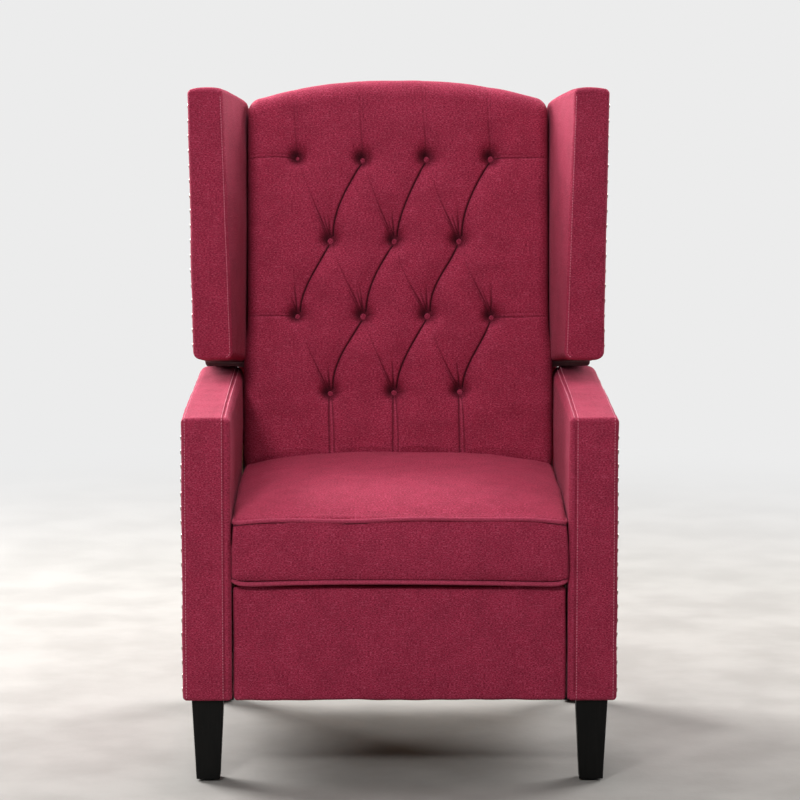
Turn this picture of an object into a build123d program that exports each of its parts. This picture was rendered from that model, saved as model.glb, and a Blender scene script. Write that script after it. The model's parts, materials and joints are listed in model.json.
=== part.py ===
from build123d import *
from math import atan2, cos, degrees, radians, sin, tan
import os

# A push-back wingback recliner with a tufted back, in millimetres.
# +X is to the right as one faces the chair, -Y is its front, +Z is up. The origin lies on the
# floor, in the middle of the chair's bounding box. Side profiles are drawn on YZ planes. Each
# pivot is a point (y, z), and y is measured from the front plane of the arms where a name says so.

os.makedirs("parts", exist_ok=True)

# ---------------------------------------------------------------- driving dimensions
# Body
front_y = -386.0  # front plane of the arms
body_bottom_z = 136.0  # underside of the arms, and the height of the legs
seat_gap = 541.0  # between the inner faces of the arms
soft_gap = 0.5  # air beside a soft piece that moves past another
reveal = 1.5  # air between sheet metal pieces that move past each other

# Arms
arm_width = 79.0
arm_length = 632.0
arm_top_z = 597.0
arm_edge_radius = 9.0
arm_corner_radius = 14.0
cover_thickness = 4.0  # fabric and batting under a frame
arm_panel_thickness = 18.0
arm_rail_width = 47.0
arm_post_depth = 25.0
arm_rail_height = 22.0
arm_post_setback = 20.0
arm_top_padding = 40.0

# Legs
leg_top_width = 51.0
leg_foot_width = 38.0
leg_edge_chamfer = 1.5
front_leg_setback = 36.0
rear_leg_setback = 596.0
rear_leg_rake = 24.0
glide_radius = 11.0
glide_height = 4.0
leg_bolt_radius = 4.0
leg_bolt_length = 60.0
leg_bolt_in_leg = 36.0
bolt_clearance = 0.2

# Base rails
base_rail_thickness = 22.0
base_rail_height = 62.0
rear_rail_setback = 612.0
cross_rail_setback = 372.0
rear_apron_thickness = 5.0

# Mechanism sheet metal: layers counted inwards from the arm
plate_thickness = 3.0
pin_radius = 4.0
pin_clearance = 0.08
pin_head_radius = 7.0
pin_head_height = 1.1
pin_play = 0.15
link_width = 22.0
seat_link_width = 26.0
plate_corner_radius = 8.0
plate_shoulder = 44.0  # from a pivot to where its plate narrows
pivot_margin = 16.0  # of sheet metal behind the back pivot
bracket_corner_radius = 4.4
bolt_radius = 4.0
bolt_head_radius = 6.5
bolt_head_height = 2.5
base_plate_bolt_setbacks = (240.0, 380.0, 515.0)

# Recline: the back turns on the arms and pushes the seat forward from its lower end
back_pivot_z = 438.0
back_pivot_in_frame = 22.0  # behind the front of the back frame
swing_length = 112.0
swing_angle = -80.0  # of both swing arms at rest, from the horizontal
front_swing_setback = 150.0
front_swing_z = 362.0

# Footrest linkage: a chain of parallelograms on the seat plate
rear_link_setback = 215.0
rear_link_z = 330.0
rear_link_length = 195.0
rear_link_angle = -51.0
bracket_pivot_setback = 107.0
bracket_pivot_z = 265.0
link_spread = 65.0
support_offset = 50.0

# Seat
seat_depth = 512.0  # from the arm fronts to the rear of the cushion
seat_back_gap = 2.5
seat_frame_depth = 550.0
seat_rail_setback = 25.0
seat_rail_thickness = 20.0
seat_rail_height = 60.0
seat_rail_top_z = 388.0
seat_band_bottom_z = 329.0
seat_band_bulge = 11.0
seat_welt_z = 431.0
seat_welt_radius = 3.6
seat_side_z = 434.0
seat_crown_z = 470.0
seat_rear_crown_z = 463.0
seat_front_crown_z = 455.0
seat_crown_setbacks = (60.0, 200.0, 360.0)  # front shoulder, and the ends of the full crown
seat_side_tuck = 3.0
seat_strap_width = 50.0
seat_cross_straps = 6
seat_long_straps = 5
seat_deck_thickness = 4.0
seat_corner_radius = 14.0
corner_block_leg = 55.0
cross_tube_radius = 11.0
cross_tube_wall = 2.0
cross_tube_setback = 440.0
cross_tube_z = 314.0
seat_bolt_setbacks = (90.0, 300.0, 480.0)
seat_bolt_z = 376.0
spacer_radius = 7.0

# Back
back_lean = 12.0
back_cushion_thickness = 80.0
back_pillow_height = 28.0
back_frame_depth = 44.0
back_stile_width = 26.0
back_rail_height = 58.0
back_bottom = -38.0  # along the lean, from the level of the back pivot
back_corner = 626.0
back_arch_rise = 36.0
back_top_padding = 12.0
back_roll_radius = 26.0
outside_back_thickness = 8.0
webbing_width = 50.0
webbing_thickness = 2.0
webbing_rows = 6
tuft_pitch = 113.0
tuft_first_drop = 105.0  # along the lean, from the back's top corner to the upper row
tuft_row_steps = (143.0, 133.0, 133.0)  # from each row to the next
button_radius = 10.0
button_height = 6.0
pit_radius = 24.0
pit_depth = 9.0
pillow_seam = 1.2  # width of the groove floor between two pillows
pillow_inset = 13.0
pillow_shoulder = 0.66  # share of the pillow's rise that its shoulder reaches
pillow_crown_inset = 32.0
button_taper = 20.0
bracket_width = 32.0
bracket_bolt_levels = (65.0, 138.0)

# Wings
wing_bottom_z = 637.0
wing_bottom_drop = 38.0  # from the front corner to the rear one
wing_top_rise = 54.0  # of the front corner above the rear one
wing_top_bulge = 4.0
wing_front_setback_bottom = 410.0
wing_front_setback_top = 446.0
wing_front_thickness_bottom = 67.0
wing_front_thickness_top = 60.0
wing_front_outer_bottom = 349.0
wing_front_outer_top = 358.0
wing_rear_outer = 338.0
wing_edge_radius = 9.0
wing_root_depth = 34.0
wing_board_thickness = 18.0
wing_board_inset = 30.0
wing_board_x = 300.0
wing_block_height = 50.0
wing_block_shares = (0.0, 0.5, 1.0)  # of the way up the stile

# Footrest
footrest_gap = 5.5  # beside the panel
footrest_setback = 5.0
footrest_top_z = 323.0
footrest_pad_thickness = 37.0
footrest_edge_radius = 9.0
footrest_corner_radius = 14.0
footrest_board_thickness = 18.0
footrest_board_inset = 22.0
bracket_flange_width = 40.0
screw_radius = 2.5
screw_head_radius = 5.0
screw_head_height = 2.0
screw_length = 16.0

# ---------------------------------------------------------------- places worked out from them
arm_inner_x = seat_gap / 2
arm_outer_x = arm_inner_x + arm_width
arm_middle_x = (arm_inner_x + arm_outer_x) / 2
arm_rear_y = front_y + arm_length

base_plate_x = arm_inner_x - plate_thickness
swing_layer_x = base_plate_x - reveal - plate_thickness
seat_plate_x = swing_layer_x - reveal - plate_thickness
link_layer_x = seat_plate_x - reveal - plate_thickness
main_layer_x = link_layer_x - reveal - plate_thickness
seat_rail_x = main_layer_x - pin_head_height - reveal
stile_outer_x = swing_layer_x
hole_radius = pin_radius + pin_clearance

lean_cos = cos(radians(back_lean))
lean_sin = sin(radians(back_lean))
lean_tan = tan(radians(back_lean))
seat_rear_y = front_y + seat_depth
back_face_y = seat_rear_y + seat_back_gap - (seat_crown_z - back_pivot_z) * lean_tan
back_frame_y = back_face_y + back_cushion_thickness / lean_cos
back_pivot_y = back_frame_y + back_pivot_in_frame * lean_cos


def polar(centre, length, angle):
    """Point at a length and an angle from another point, in the YZ plane."""
    return (centre[0] + length * cos(radians(angle)), centre[1] + length * sin(radians(angle)))


def middle(first, second):
    """Point halfway between two points of the YZ plane."""
    return ((first[0] + second[0]) / 2, (first[1] + second[1]) / 2)


def angle_of(first, second):
    """Direction from one point of the YZ plane to another, in degrees."""
    return degrees(atan2(second[1] - first[1], second[0] - first[0]))


def distance_of(first, second):
    """Distance between two points of the YZ plane."""
    return ((second[0] - first[0]) ** 2 + (second[1] - first[1]) ** 2) ** 0.5


back_pivot = (back_pivot_y, back_pivot_z)
seat_rear_pivot = polar(back_pivot, swing_length, swing_angle)
front_swing_pivot = (front_y + front_swing_setback, front_swing_z)
seat_front_pivot = polar(front_swing_pivot, swing_length, swing_angle)

rear_link_pivot = (front_y + rear_link_setback, rear_link_z)
rear_link_end = polar(rear_link_pivot, rear_link_length, rear_link_angle)
bracket_pivot = (front_y + bracket_pivot_setback, bracket_pivot_z)
main_link_angle = angle_of(rear_link_end, bracket_pivot)
front_link_pivot = polar(rear_link_pivot, link_spread, main_link_angle)
front_link_end = polar(rear_link_end, link_spread, main_link_angle)
support_angle = rear_link_angle + 180
support_start = polar(rear_link_end, support_offset, support_angle)
support_end = polar(bracket_pivot, support_offset, support_angle)

back_plane = Plane(
    origin=(0, back_frame_y, back_pivot_z),
    x_dir=(1, 0, 0),
    z_dir=(0, -lean_cos, lean_sin),
)


def save(piece, node):
    """Label a finished piece and write it as its own file."""
    piece.part.label = node
    export_step(piece.part, f"parts/{node}.step")


def save_pair(piece, node):
    """Write the right-hand piece, and its mirror image as the left-hand one."""
    save(piece, f"{node}_right")
    with BuildPart() as left_piece:
        mirror(piece.part, about=Plane.YZ)
    save(left_piece, f"{node}_left")


def back_line_y(height):
    """Y of the front of the back frame at a height above the floor."""
    return back_frame_y + (height - back_pivot_z) * lean_tan


def back_point(level, forward):
    """Point (y, z) of the back, from its level along the lean and its distance ahead of the frame."""
    return (
        back_frame_y + level * lean_sin - forward * lean_cos,
        back_pivot_z + level * lean_cos + forward * lean_sin,
    )


def pin(point, start_x, end_x, radius, mode=Mode.ADD):
    """Cylinder along X at a point of the YZ plane, in the part being built."""
    with Locations(Location((min(start_x, end_x), point[0], point[1]), (0, 90, 0))):
        Cylinder(
            radius,
            abs(end_x - start_x),
            align=(Align.CENTER, Align.CENTER, Align.MIN),
            mode=mode,
        )


# ---------------------------------------------------------------- legs
def make_leg(node, x, y, rake):
    """Square tapered leg with a bolt hole in its top."""
    with BuildPart() as leg:
        with BuildSketch(Plane.XY.offset(glide_height)):
            with Locations((x, y + rake)):
                Rectangle(leg_foot_width, leg_foot_width)
        with BuildSketch(Plane.XY.offset(body_bottom_z)):
            with Locations((x, y)):
                Rectangle(leg_top_width, leg_top_width)
        loft()
        ends = leg.faces().filter_by(Axis.Z)
        chamfer(leg.edges() - ends.edges(), leg_edge_chamfer)
        with BuildSketch(Plane.XY.offset(body_bottom_z)):
            with Locations((x, y)):
                Circle(leg_bolt_radius + bolt_clearance)
        extrude(amount=-leg_bolt_in_leg - bolt_clearance, mode=Mode.SUBTRACT)
    save(leg, node)


front_leg_y = front_y + front_leg_setback
rear_leg_y = front_y + rear_leg_setback
leg_places = (
    ("leg_front_right", arm_middle_x, front_leg_y, 0),
    ("leg_front_left", -arm_middle_x, front_leg_y, 0),
    ("leg_rear_right", arm_middle_x, rear_leg_y, rear_leg_rake),
    ("leg_rear_left", -arm_middle_x, rear_leg_y, rear_leg_rake),
)
for leg_node, leg_x, leg_y, leg_rake in leg_places:
    make_leg(leg_node, leg_x, leg_y, leg_rake)

with BuildPart() as leg_glides:
    for leg_node, leg_x, leg_y, leg_rake in leg_places:
        with BuildSketch(Plane.XY):
            with Locations((leg_x, leg_y + leg_rake)):
                Circle(glide_radius)
        extrude(amount=glide_height)
save(leg_glides, "leg_glides")

with BuildPart() as leg_bolts:
    for leg_node, leg_x, leg_y, leg_rake in leg_places:
        with BuildSketch(Plane.XY.offset(body_bottom_z - leg_bolt_in_leg)):
            with Locations((leg_x, leg_y)):
                Circle(leg_bolt_radius)
        extrude(amount=leg_bolt_length)
save(leg_bolts, "leg_bolts")

# ---------------------------------------------------------------- arms
arm_frame_bottom_z = body_bottom_z + cover_thickness
arm_frame_top_z = arm_top_z - arm_top_padding
arm_frame_front_y = front_y + arm_post_setback
arm_frame_rear_y = arm_rear_y - cover_thickness
arm_rail_x = arm_inner_x + arm_panel_thickness
panel_top_z = seat_rail_top_z
panel_rear_top_z = back_pivot_z + swing_length / 2
panel_step_y = seat_rear_y
base_plate_low_z = front_swing_z - link_width
base_plate_high_z = seat_rail_top_z - reveal
base_bolt_z = (base_plate_low_z + base_plate_high_z) / 2
base_bolt_points = [(front_y + setback, base_bolt_z) for setback in base_plate_bolt_setbacks]

with BuildPart() as arm_frame:
    # The inner panel carries the mechanism and steps up towards the back pivot.
    with BuildSketch(Plane.YZ.offset(arm_inner_x)):
        Polygon(
            (arm_frame_front_y, arm_frame_bottom_z),
            (arm_frame_rear_y, arm_frame_bottom_z),
            (arm_frame_rear_y, panel_rear_top_z),
            (panel_step_y + arm_rail_width, panel_rear_top_z),
            (panel_step_y, panel_top_z),
            (arm_frame_front_y, panel_top_z),
            align=None,
        )
    extrude(amount=arm_panel_thickness)
    # Posts and rails make a ladder behind the outer side.
    with BuildSketch(Plane.YZ.offset(arm_rail_x)):
        Polygon(
            (arm_frame_front_y, arm_frame_bottom_z),
            (arm_frame_rear_y, arm_frame_bottom_z),
            (arm_frame_rear_y, arm_frame_top_z),
            (arm_frame_front_y, arm_frame_top_z),
            align=None,
        )
        Polygon(
            (arm_frame_front_y + arm_post_depth, arm_frame_bottom_z + arm_rail_height),
            (arm_frame_rear_y - arm_post_depth, arm_frame_bottom_z + arm_rail_height),
            (arm_frame_rear_y - arm_post_depth, arm_frame_top_z - arm_rail_height),
            (arm_frame_front_y + arm_post_depth, arm_frame_top_z - arm_rail_height),
            align=None,
            mode=Mode.SUBTRACT,
        )
    extrude(amount=arm_rail_width)
    for leg_y in (front_leg_y, rear_leg_y):
        with BuildSketch(Plane.XY.offset(arm_frame_bottom_z)):
            with Locations((arm_middle_x, leg_y)):
                Circle(leg_bolt_radius + bolt_clearance)
        extrude(amount=leg_bolt_length - cover_thickness, mode=Mode.SUBTRACT)
    for point in base_bolt_points:
        pin(point, arm_inner_x, arm_rail_x, bolt_radius + bolt_clearance, mode=Mode.SUBTRACT)
save_pair(arm_frame, "arm_frame")

with BuildPart() as arm:
    with BuildSketch(Plane.YZ.offset(arm_inner_x)):
        Polygon(
            (front_y, body_bottom_z),
            (arm_rear_y, body_bottom_z),
            (arm_rear_y, arm_top_z),
            (front_y, arm_top_z),
            align=None,
        )
    extrude(amount=arm_width)
    fillet(arm.edges().filter_by(Axis.X).group_by(Axis.Z)[-1], arm_corner_radius)
    side_edges = arm.faces().filter_by(Axis.X).edges() - arm.faces().sort_by(Axis.Z)[0].edges()
    fillet(side_edges, arm_edge_radius)
    # Bolt holes are cut first, so that nothing of the padding stays in the frame's holes.
    for leg_y in (front_leg_y, rear_leg_y):
        with BuildSketch(Plane.XY.offset(body_bottom_z)):
            with Locations((arm_middle_x, leg_y)):
                Circle(leg_bolt_radius + bolt_clearance)
        extrude(amount=leg_bolt_length, mode=Mode.SUBTRACT)
    for point in base_bolt_points:
        pin(point, arm_inner_x, arm_rail_x, bolt_radius + bolt_clearance, mode=Mode.SUBTRACT)
    add(arm_frame.part, mode=Mode.SUBTRACT)
save_pair(arm, "arm")

# ---------------------------------------------------------------- base rails
def make_base_rail(node, setback):
    """Cross rail between the inner panels of the arms."""
    with BuildPart() as rail:
        with BuildSketch(Plane.YZ.offset(-arm_inner_x)):
            with Locations((front_y + setback, arm_frame_bottom_z)):
                Rectangle(base_rail_thickness, base_rail_height, align=(Align.CENTER, Align.MIN))
        extrude(amount=seat_gap)
    save(rail, node)


make_base_rail("rear_rail", rear_rail_setback)
make_base_rail("cross_rail", cross_rail_setback)

with BuildPart() as rear_apron:
    apron_y = front_y + rear_rail_setback + base_rail_thickness / 2
    with BuildSketch(Plane.YZ.offset(-arm_inner_x)):
        with Locations((apron_y, body_bottom_z)):
            Rectangle(
                rear_apron_thickness,
                base_rail_height + 2 * cover_thickness,
                align=(Align.MIN, Align.MIN),
            )
    extrude(amount=seat_gap)
    fillet(rear_apron.faces().sort_by(Axis.Y)[-1].edges().filter_by(Axis.X), rear_apron_thickness / 2)
save(rear_apron, "rear_apron")

# ---------------------------------------------------------------- base plates

with BuildPart() as base_plate:
    with BuildSketch(Plane.YZ.offset(base_plate_x)) as base_plate_profile:
        Polygon(
            (front_swing_pivot[0] - link_width, base_plate_low_z),
            (back_pivot_y - link_width, base_plate_low_z),
            (back_pivot_y + pivot_margin, back_pivot_z - plate_shoulder),
            (back_pivot_y + pivot_margin, back_pivot_z + link_width),
            (back_pivot_y - link_width, back_pivot_z + link_width),
            (panel_step_y, base_plate_high_z),
            (front_swing_pivot[0] - link_width, base_plate_high_z),
            align=None,
        )
        fillet(base_plate_profile.vertices(), plate_corner_radius)
        with Locations(front_swing_pivot, back_pivot):
            Circle(hole_radius, mode=Mode.SUBTRACT)
        with Locations(*base_bolt_points):
            Circle(bolt_radius + bolt_clearance, mode=Mode.SUBTRACT)
    extrude(amount=plate_thickness)
save_pair(base_plate, "base_plate")

with BuildPart() as base_plate_bolts:
    for side in (-1, 1):
        for point in base_bolt_points:
            pin(point, side * base_plate_x, side * (arm_inner_x + arm_panel_thickness), bolt_radius)
            pin(point, side * (base_plate_x - bolt_head_height), side * base_plate_x, bolt_head_radius)
save(base_plate_bolts, "base_plate_bolts")

with BuildPart() as base_pivot_pins:
    head_x = swing_layer_x - pin_play
    for side in (-1, 1):
        for point in (front_swing_pivot, back_pivot):
            pin(point, side * head_x, side * arm_inner_x, pin_radius)
            pin(point, side * (head_x - pin_head_height), side * head_x, pin_head_radius)
save(base_pivot_pins, "base_pivot_pins")


# ---------------------------------------------------------------- links
def make_link(node, holes, layer_x, width):
    """Straight flat link with round ends, between its first and last hole, on both sides."""
    first, last = holes[0], holes[-1]
    with BuildPart() as link:
        with BuildSketch(Plane.YZ.offset(layer_x)):
            with Locations(middle(first, last)):
                SlotCenterToCenter(distance_of(first, last), width, rotation=angle_of(first, last))
            with Locations(*holes):
                Circle(hole_radius, mode=Mode.SUBTRACT)
        extrude(amount=plate_thickness)
    save_pair(link, node)


def make_link_pins(node, points):
    """Pins of a link-layer piece that carry pieces of the main layer, on both sides."""
    head_x = main_layer_x - pin_play
    with BuildPart() as pins:
        for side in (-1, 1):
            for point in points:
                pin(point, side * head_x, side * (link_layer_x + plate_thickness), pin_radius)
                pin(point, side * (head_x - pin_head_height), side * head_x, pin_head_radius)
    save(pins, node)


make_link("front_swing_link", (front_swing_pivot, seat_front_pivot), swing_layer_x, seat_link_width)
make_link("rear_footrest_link", (rear_link_pivot, support_start, rear_link_end), link_layer_x, link_width)
make_link("front_footrest_link", (front_link_pivot, front_link_end), link_layer_x, link_width)
make_link("main_footrest_link", (rear_link_end, front_link_end, bracket_pivot), main_layer_x, link_width)
make_link("support_footrest_link", (support_start, support_end), main_layer_x, link_width)
make_link_pins("rear_footrest_link_pins", (rear_link_end, support_start))
make_link_pins("front_footrest_link_pins", (front_link_end,))

# ---------------------------------------------------------------- seat
seat_front_y = front_y + seat_rail_setback
seat_frame_rear_y = seat_front_y + seat_frame_depth
seat_rail_bottom_z = seat_rail_top_z - seat_rail_height
seat_bolt_points = [(front_y + setback, seat_bolt_z) for setback in seat_bolt_setbacks]
cross_tube_point = (front_y + cross_tube_setback, cross_tube_z)

with BuildPart() as seat_frame:
    # Side rails and corner blocks up to the level of the cross straps
    with BuildSketch(Plane.XY.offset(seat_rail_bottom_z)):
        with Locations((0, seat_front_y)):
            Rectangle(2 * seat_rail_x, seat_frame_depth, align=(Align.CENTER, Align.MIN))
        with Locations((0, seat_front_y + seat_rail_thickness)):
            Rectangle(
                2 * (seat_rail_x - seat_rail_thickness),
                seat_frame_depth - 2 * seat_rail_thickness,
                align=(Align.CENTER, Align.MIN),
                mode=Mode.SUBTRACT,
            )
        for side in (-1, 1):
            for end_y, inward in ((seat_front_y, 1), (seat_frame_rear_y, -1)):
                Polygon(
                    (side * seat_rail_x, end_y),
                    (side * (seat_rail_x - corner_block_leg), end_y),
                    (side * seat_rail_x, end_y + inward * corner_block_leg),
                    align=None,
                )
    extrude(amount=seat_rail_height)
    # The front and rear rails stand higher by a strap, so that the long straps lie flat.
    with BuildSketch(Plane.XY.offset(seat_rail_top_z)):
        for rail_y in (seat_front_y, seat_frame_rear_y - seat_rail_thickness):
            with Locations((0, rail_y)):
                Rectangle(2 * seat_rail_x, seat_rail_thickness, align=(Align.CENTER, Align.MIN))
    extrude(amount=webbing_thickness)
    for side in (-1, 1):
        for point in seat_bolt_points:
            pin(
                point,
                side * (seat_rail_x - seat_rail_thickness),
                side * seat_rail_x,
                bolt_radius + bolt_clearance,
                mode=Mode.SUBTRACT,
            )
save(seat_frame, "seat_frame")

strap_span = seat_frame_depth - 2 * seat_rail_thickness
cross_strap_step = strap_span / seat_cross_straps
long_strap_step = 2 * (seat_rail_x - seat_rail_thickness) / seat_long_straps
seat_middle_y = seat_front_y + seat_frame_depth / 2

with BuildPart() as seat_cross_webbing:
    with BuildSketch(Plane.XY.offset(seat_rail_top_z)):
        with Locations((0, seat_middle_y)):
            with GridLocations(0, cross_strap_step, 1, seat_cross_straps):
                Rectangle(2 * seat_rail_x, seat_strap_width)
    extrude(amount=webbing_thickness)
save(seat_cross_webbing, "seat_cross_webbing")

with BuildPart() as seat_long_webbing:
    with BuildSketch(Plane.XY.offset(seat_rail_top_z + webbing_thickness)):
        with Locations((0, seat_middle_y)):
            with GridLocations(long_strap_step, 0, seat_long_straps, 1):
                Rectangle(seat_strap_width, seat_frame_depth)
    extrude(amount=webbing_thickness)
save(seat_long_webbing, "seat_long_webbing")

cushion_bottom_z = seat_rail_top_z + 2 * webbing_thickness
cushion_half_width = arm_inner_x - soft_gap
welt_half_width = cushion_half_width - seat_welt_radius
crown_sections = (
    (0.0, seat_welt_z, seat_welt_z + seat_welt_radius),
    (seat_crown_setbacks[0], seat_side_z, seat_front_crown_z),
    (seat_crown_setbacks[1], seat_side_z, seat_crown_z),
    (seat_crown_setbacks[2], seat_side_z, seat_crown_z),
    (seat_depth, seat_side_z, seat_rear_crown_z),
)


def make_welt_path(height, return_length):
    """Line of a welt across the front of the seat and back along both sides."""
    side_x = welt_half_width
    with BuildLine(Plane.XY.offset(height)) as path:
        FilletPolyline(
            (-side_x, front_y + return_length),
            (-side_x, front_y - seat_welt_radius),
            (side_x, front_y - seat_welt_radius),
            (side_x, front_y + return_length),
            radius=seat_corner_radius,
        )
    return path.line


with BuildPart() as seat_cushion:
    # Crowned top: one section for each step towards the back
    for setback, side_z, crown_z in crown_sections:
        with BuildSketch(Plane.XZ.offset(-front_y - setback)):
            edge_x = cushion_half_width - seat_side_tuck
            with BuildLine():
                Line((-edge_x, cushion_bottom_z), (edge_x, cushion_bottom_z))
                ThreePointArc(
                    (edge_x, cushion_bottom_z),
                    (cushion_half_width, (cushion_bottom_z + side_z) / 2),
                    (edge_x, side_z),
                )
                ThreePointArc((edge_x, side_z), (0, crown_z), (-edge_x, side_z))
                ThreePointArc(
                    (-edge_x, side_z),
                    (-cushion_half_width, (cushion_bottom_z + side_z) / 2),
                    (-edge_x, cushion_bottom_z),
                )
            make_face()
    loft()
    # Bulging front band, which hangs over the front rail
    with BuildSketch(Plane.YZ.offset(-welt_half_width)):
        with BuildLine():
            Line((seat_front_y, seat_band_bottom_z), (front_y, seat_band_bottom_z))
            ThreePointArc(
                (front_y, seat_band_bottom_z),
                (front_y - seat_band_bulge, (seat_band_bottom_z + seat_welt_z) / 2),
                (front_y, seat_welt_z),
            )
            Line((front_y, seat_welt_z), (seat_front_y, seat_welt_z))
            Line((seat_front_y, seat_welt_z), (seat_front_y, seat_band_bottom_z))
        make_face()
    extrude(amount=2 * welt_half_width)
    # Thin deck that closes the seat under the back
    with BuildSketch(Plane.XY.offset(cushion_bottom_z)):
        with Locations((0, seat_rear_y)):
            Rectangle(
                2 * seat_rail_x,
                seat_frame_rear_y - seat_rear_y,
                align=(Align.CENTER, Align.MIN),
            )
    extrude(amount=seat_deck_thickness)
    # Piped seams round the top and along the lower edge of the band
    for welt_z, return_length in (
        (seat_welt_z, seat_depth - seat_corner_radius),
        (seat_band_bottom_z + seat_welt_radius / 2, seat_rail_setback),
    ):
        welt_path = make_welt_path(welt_z, return_length)
        with BuildSketch(Plane(origin=welt_path @ 0, z_dir=welt_path % 0)):
            Circle(seat_welt_radius)
        sweep(path=welt_path)
save(seat_cushion, "seat_cushion")

with BuildPart() as seat_plate:
    with BuildSketch(Plane.YZ.offset(seat_plate_x)) as seat_plate_profile:
        Polygon(
            (seat_bolt_points[0][0] - link_width, seat_rail_top_z - reveal),
            (seat_bolt_points[-1][0] + link_width, seat_rail_top_z - reveal),
            (seat_rear_pivot[0] - plate_shoulder, seat_rear_pivot[1] + seat_link_width / 2),
            (seat_rear_pivot[0] + seat_link_width / 2, seat_rear_pivot[1] + seat_link_width / 2),
            (seat_rear_pivot[0] + seat_link_width / 2, seat_rear_pivot[1] - seat_link_width / 2),
            (cross_tube_point[0] + link_width, cross_tube_z - link_width),
            (cross_tube_point[0] - link_width, cross_tube_z - link_width),
            (rear_link_pivot[0] + link_width, rear_link_pivot[1] - link_width),
            (seat_front_pivot[0] + seat_link_width / 2, seat_front_pivot[1] - seat_link_width / 2),
            (seat_front_pivot[0] - seat_link_width / 2, seat_front_pivot[1] - seat_link_width / 2),
            (front_link_pivot[0] - link_width, front_link_pivot[1] - link_width / 2),
            (seat_bolt_points[0][0] - link_width, seat_bolt_z - link_width / 2),
            align=None,
        )
        fillet(seat_plate_profile.vertices(), plate_corner_radius)
        with Locations(rear_link_pivot, front_link_pivot, seat_rear_pivot, seat_front_pivot):
            Circle(hole_radius, mode=Mode.SUBTRACT)
        with Locations(*seat_bolt_points):
            Circle(bolt_radius + bolt_clearance, mode=Mode.SUBTRACT)
    extrude(amount=plate_thickness)
save_pair(seat_plate, "seat_plate")

with BuildPart() as seat_spacers:
    for side in (-1, 1):
        for point in seat_bolt_points:
            pin(point, side * seat_rail_x, side * seat_plate_x, spacer_radius)
            pin(
                point,
                side * seat_rail_x,
                side * seat_plate_x,
                bolt_radius + bolt_clearance,
                mode=Mode.SUBTRACT,
            )
save(seat_spacers, "seat_spacers")

with BuildPart() as seat_plate_bolts:
    bolt_head_x = seat_plate_x + plate_thickness
    for side in (-1, 1):
        for point in seat_bolt_points:
            pin(point, side * (seat_rail_x - seat_rail_thickness), side * bolt_head_x, bolt_radius)
            pin(point, side * bolt_head_x, side * (bolt_head_x + bolt_head_height), bolt_head_radius)
save(seat_plate_bolts, "seat_plate_bolts")

with BuildPart() as cross_tube:
    pin(cross_tube_point, -seat_plate_x, seat_plate_x, cross_tube_radius)
    pin(
        cross_tube_point,
        -seat_plate_x,
        seat_plate_x,
        cross_tube_radius - cross_tube_wall,
        mode=Mode.SUBTRACT,
    )
save(cross_tube, "cross_tube")

with BuildPart() as seat_pivot_pins:
    outer_head_x = swing_layer_x + plate_thickness + pin_play
    inner_head_x = link_layer_x - pin_play
    for side in (-1, 1):
        for point in (seat_rear_pivot, seat_front_pivot):
            pin(point, side * seat_plate_x, side * outer_head_x, pin_radius)
            pin(point, side * outer_head_x, side * (outer_head_x + pin_head_height), pin_head_radius)
        for point in (rear_link_pivot, front_link_pivot):
            pin(point, side * inner_head_x, side * (seat_plate_x + plate_thickness), pin_radius)
            pin(point, side * (inner_head_x - pin_head_height), side * inner_head_x, pin_head_radius)
save(seat_pivot_pins, "seat_pivot_pins")

# ---------------------------------------------------------------- back frame
back_half_width = stile_outer_x
cushion_side_x = back_half_width - soft_gap
opening_half_width = back_half_width - back_stile_width
frame_corner = back_corner - back_top_padding


def level_at(height, forward):
    """Level along the lean of a height above the floor, at a distance ahead of the frame."""
    return (height - back_pivot_z - forward * lean_sin) / lean_cos


wing_rear_bottom_z = wing_bottom_z - wing_bottom_drop
wing_level = level_at(wing_rear_bottom_z, -back_frame_depth)
mid_rail_level = wing_level + back_rail_height


def arch_level(x, corner):
    """Level of the arched top at a distance from the middle, for an arch that ends at a corner."""
    return corner + back_arch_rise * (1 - (x / back_half_width) ** 2)


with BuildPart() as back_frame:
    with BuildSketch(back_plane):
        with BuildLine():
            Polyline(
                (-back_half_width, frame_corner),
                (-back_half_width, back_bottom),
                (back_half_width, back_bottom),
                (back_half_width, frame_corner),
            )
            ThreePointArc(
                (back_half_width, frame_corner),
                (0, frame_corner + back_arch_rise),
                (-back_half_width, frame_corner),
            )
        make_face()
        for low, high in (
            (back_bottom + back_rail_height, mid_rail_level),
            (mid_rail_level + back_rail_height, frame_corner - back_rail_height),
        ):
            with Locations((0, low)):
                Rectangle(
                    2 * opening_half_width,
                    high - low,
                    align=(Align.CENTER, Align.MIN),
                    mode=Mode.SUBTRACT,
                )
    extrude(amount=-back_frame_depth)
    head_room = pin_head_height + 2 * pin_play
    for side in (-1, 1):
        pin(
            back_pivot,
            side * (back_half_width - head_room),
            side * back_half_width,
            pin_head_radius + reveal,
            mode=Mode.SUBTRACT,
        )
        for level in bracket_bolt_levels:
            pin(
                back_point(level, -back_pivot_in_frame),
                side * (back_half_width - back_stile_width),
                side * back_half_width,
                bolt_radius + bolt_clearance,
                mode=Mode.SUBTRACT,
            )
save(back_frame, "back_frame")

with BuildPart() as back_webbing:
    strap_step = (frame_corner - back_bottom - back_rail_height) / webbing_rows
    with BuildSketch(back_plane):
        with Locations((0, (frame_corner + back_bottom) / 2)):
            with GridLocations(0, strap_step, 1, webbing_rows):
                Rectangle(2 * back_half_width - back_stile_width, webbing_width)
    extrude(amount=webbing_thickness)
save(back_webbing, "back_webbing")

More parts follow.
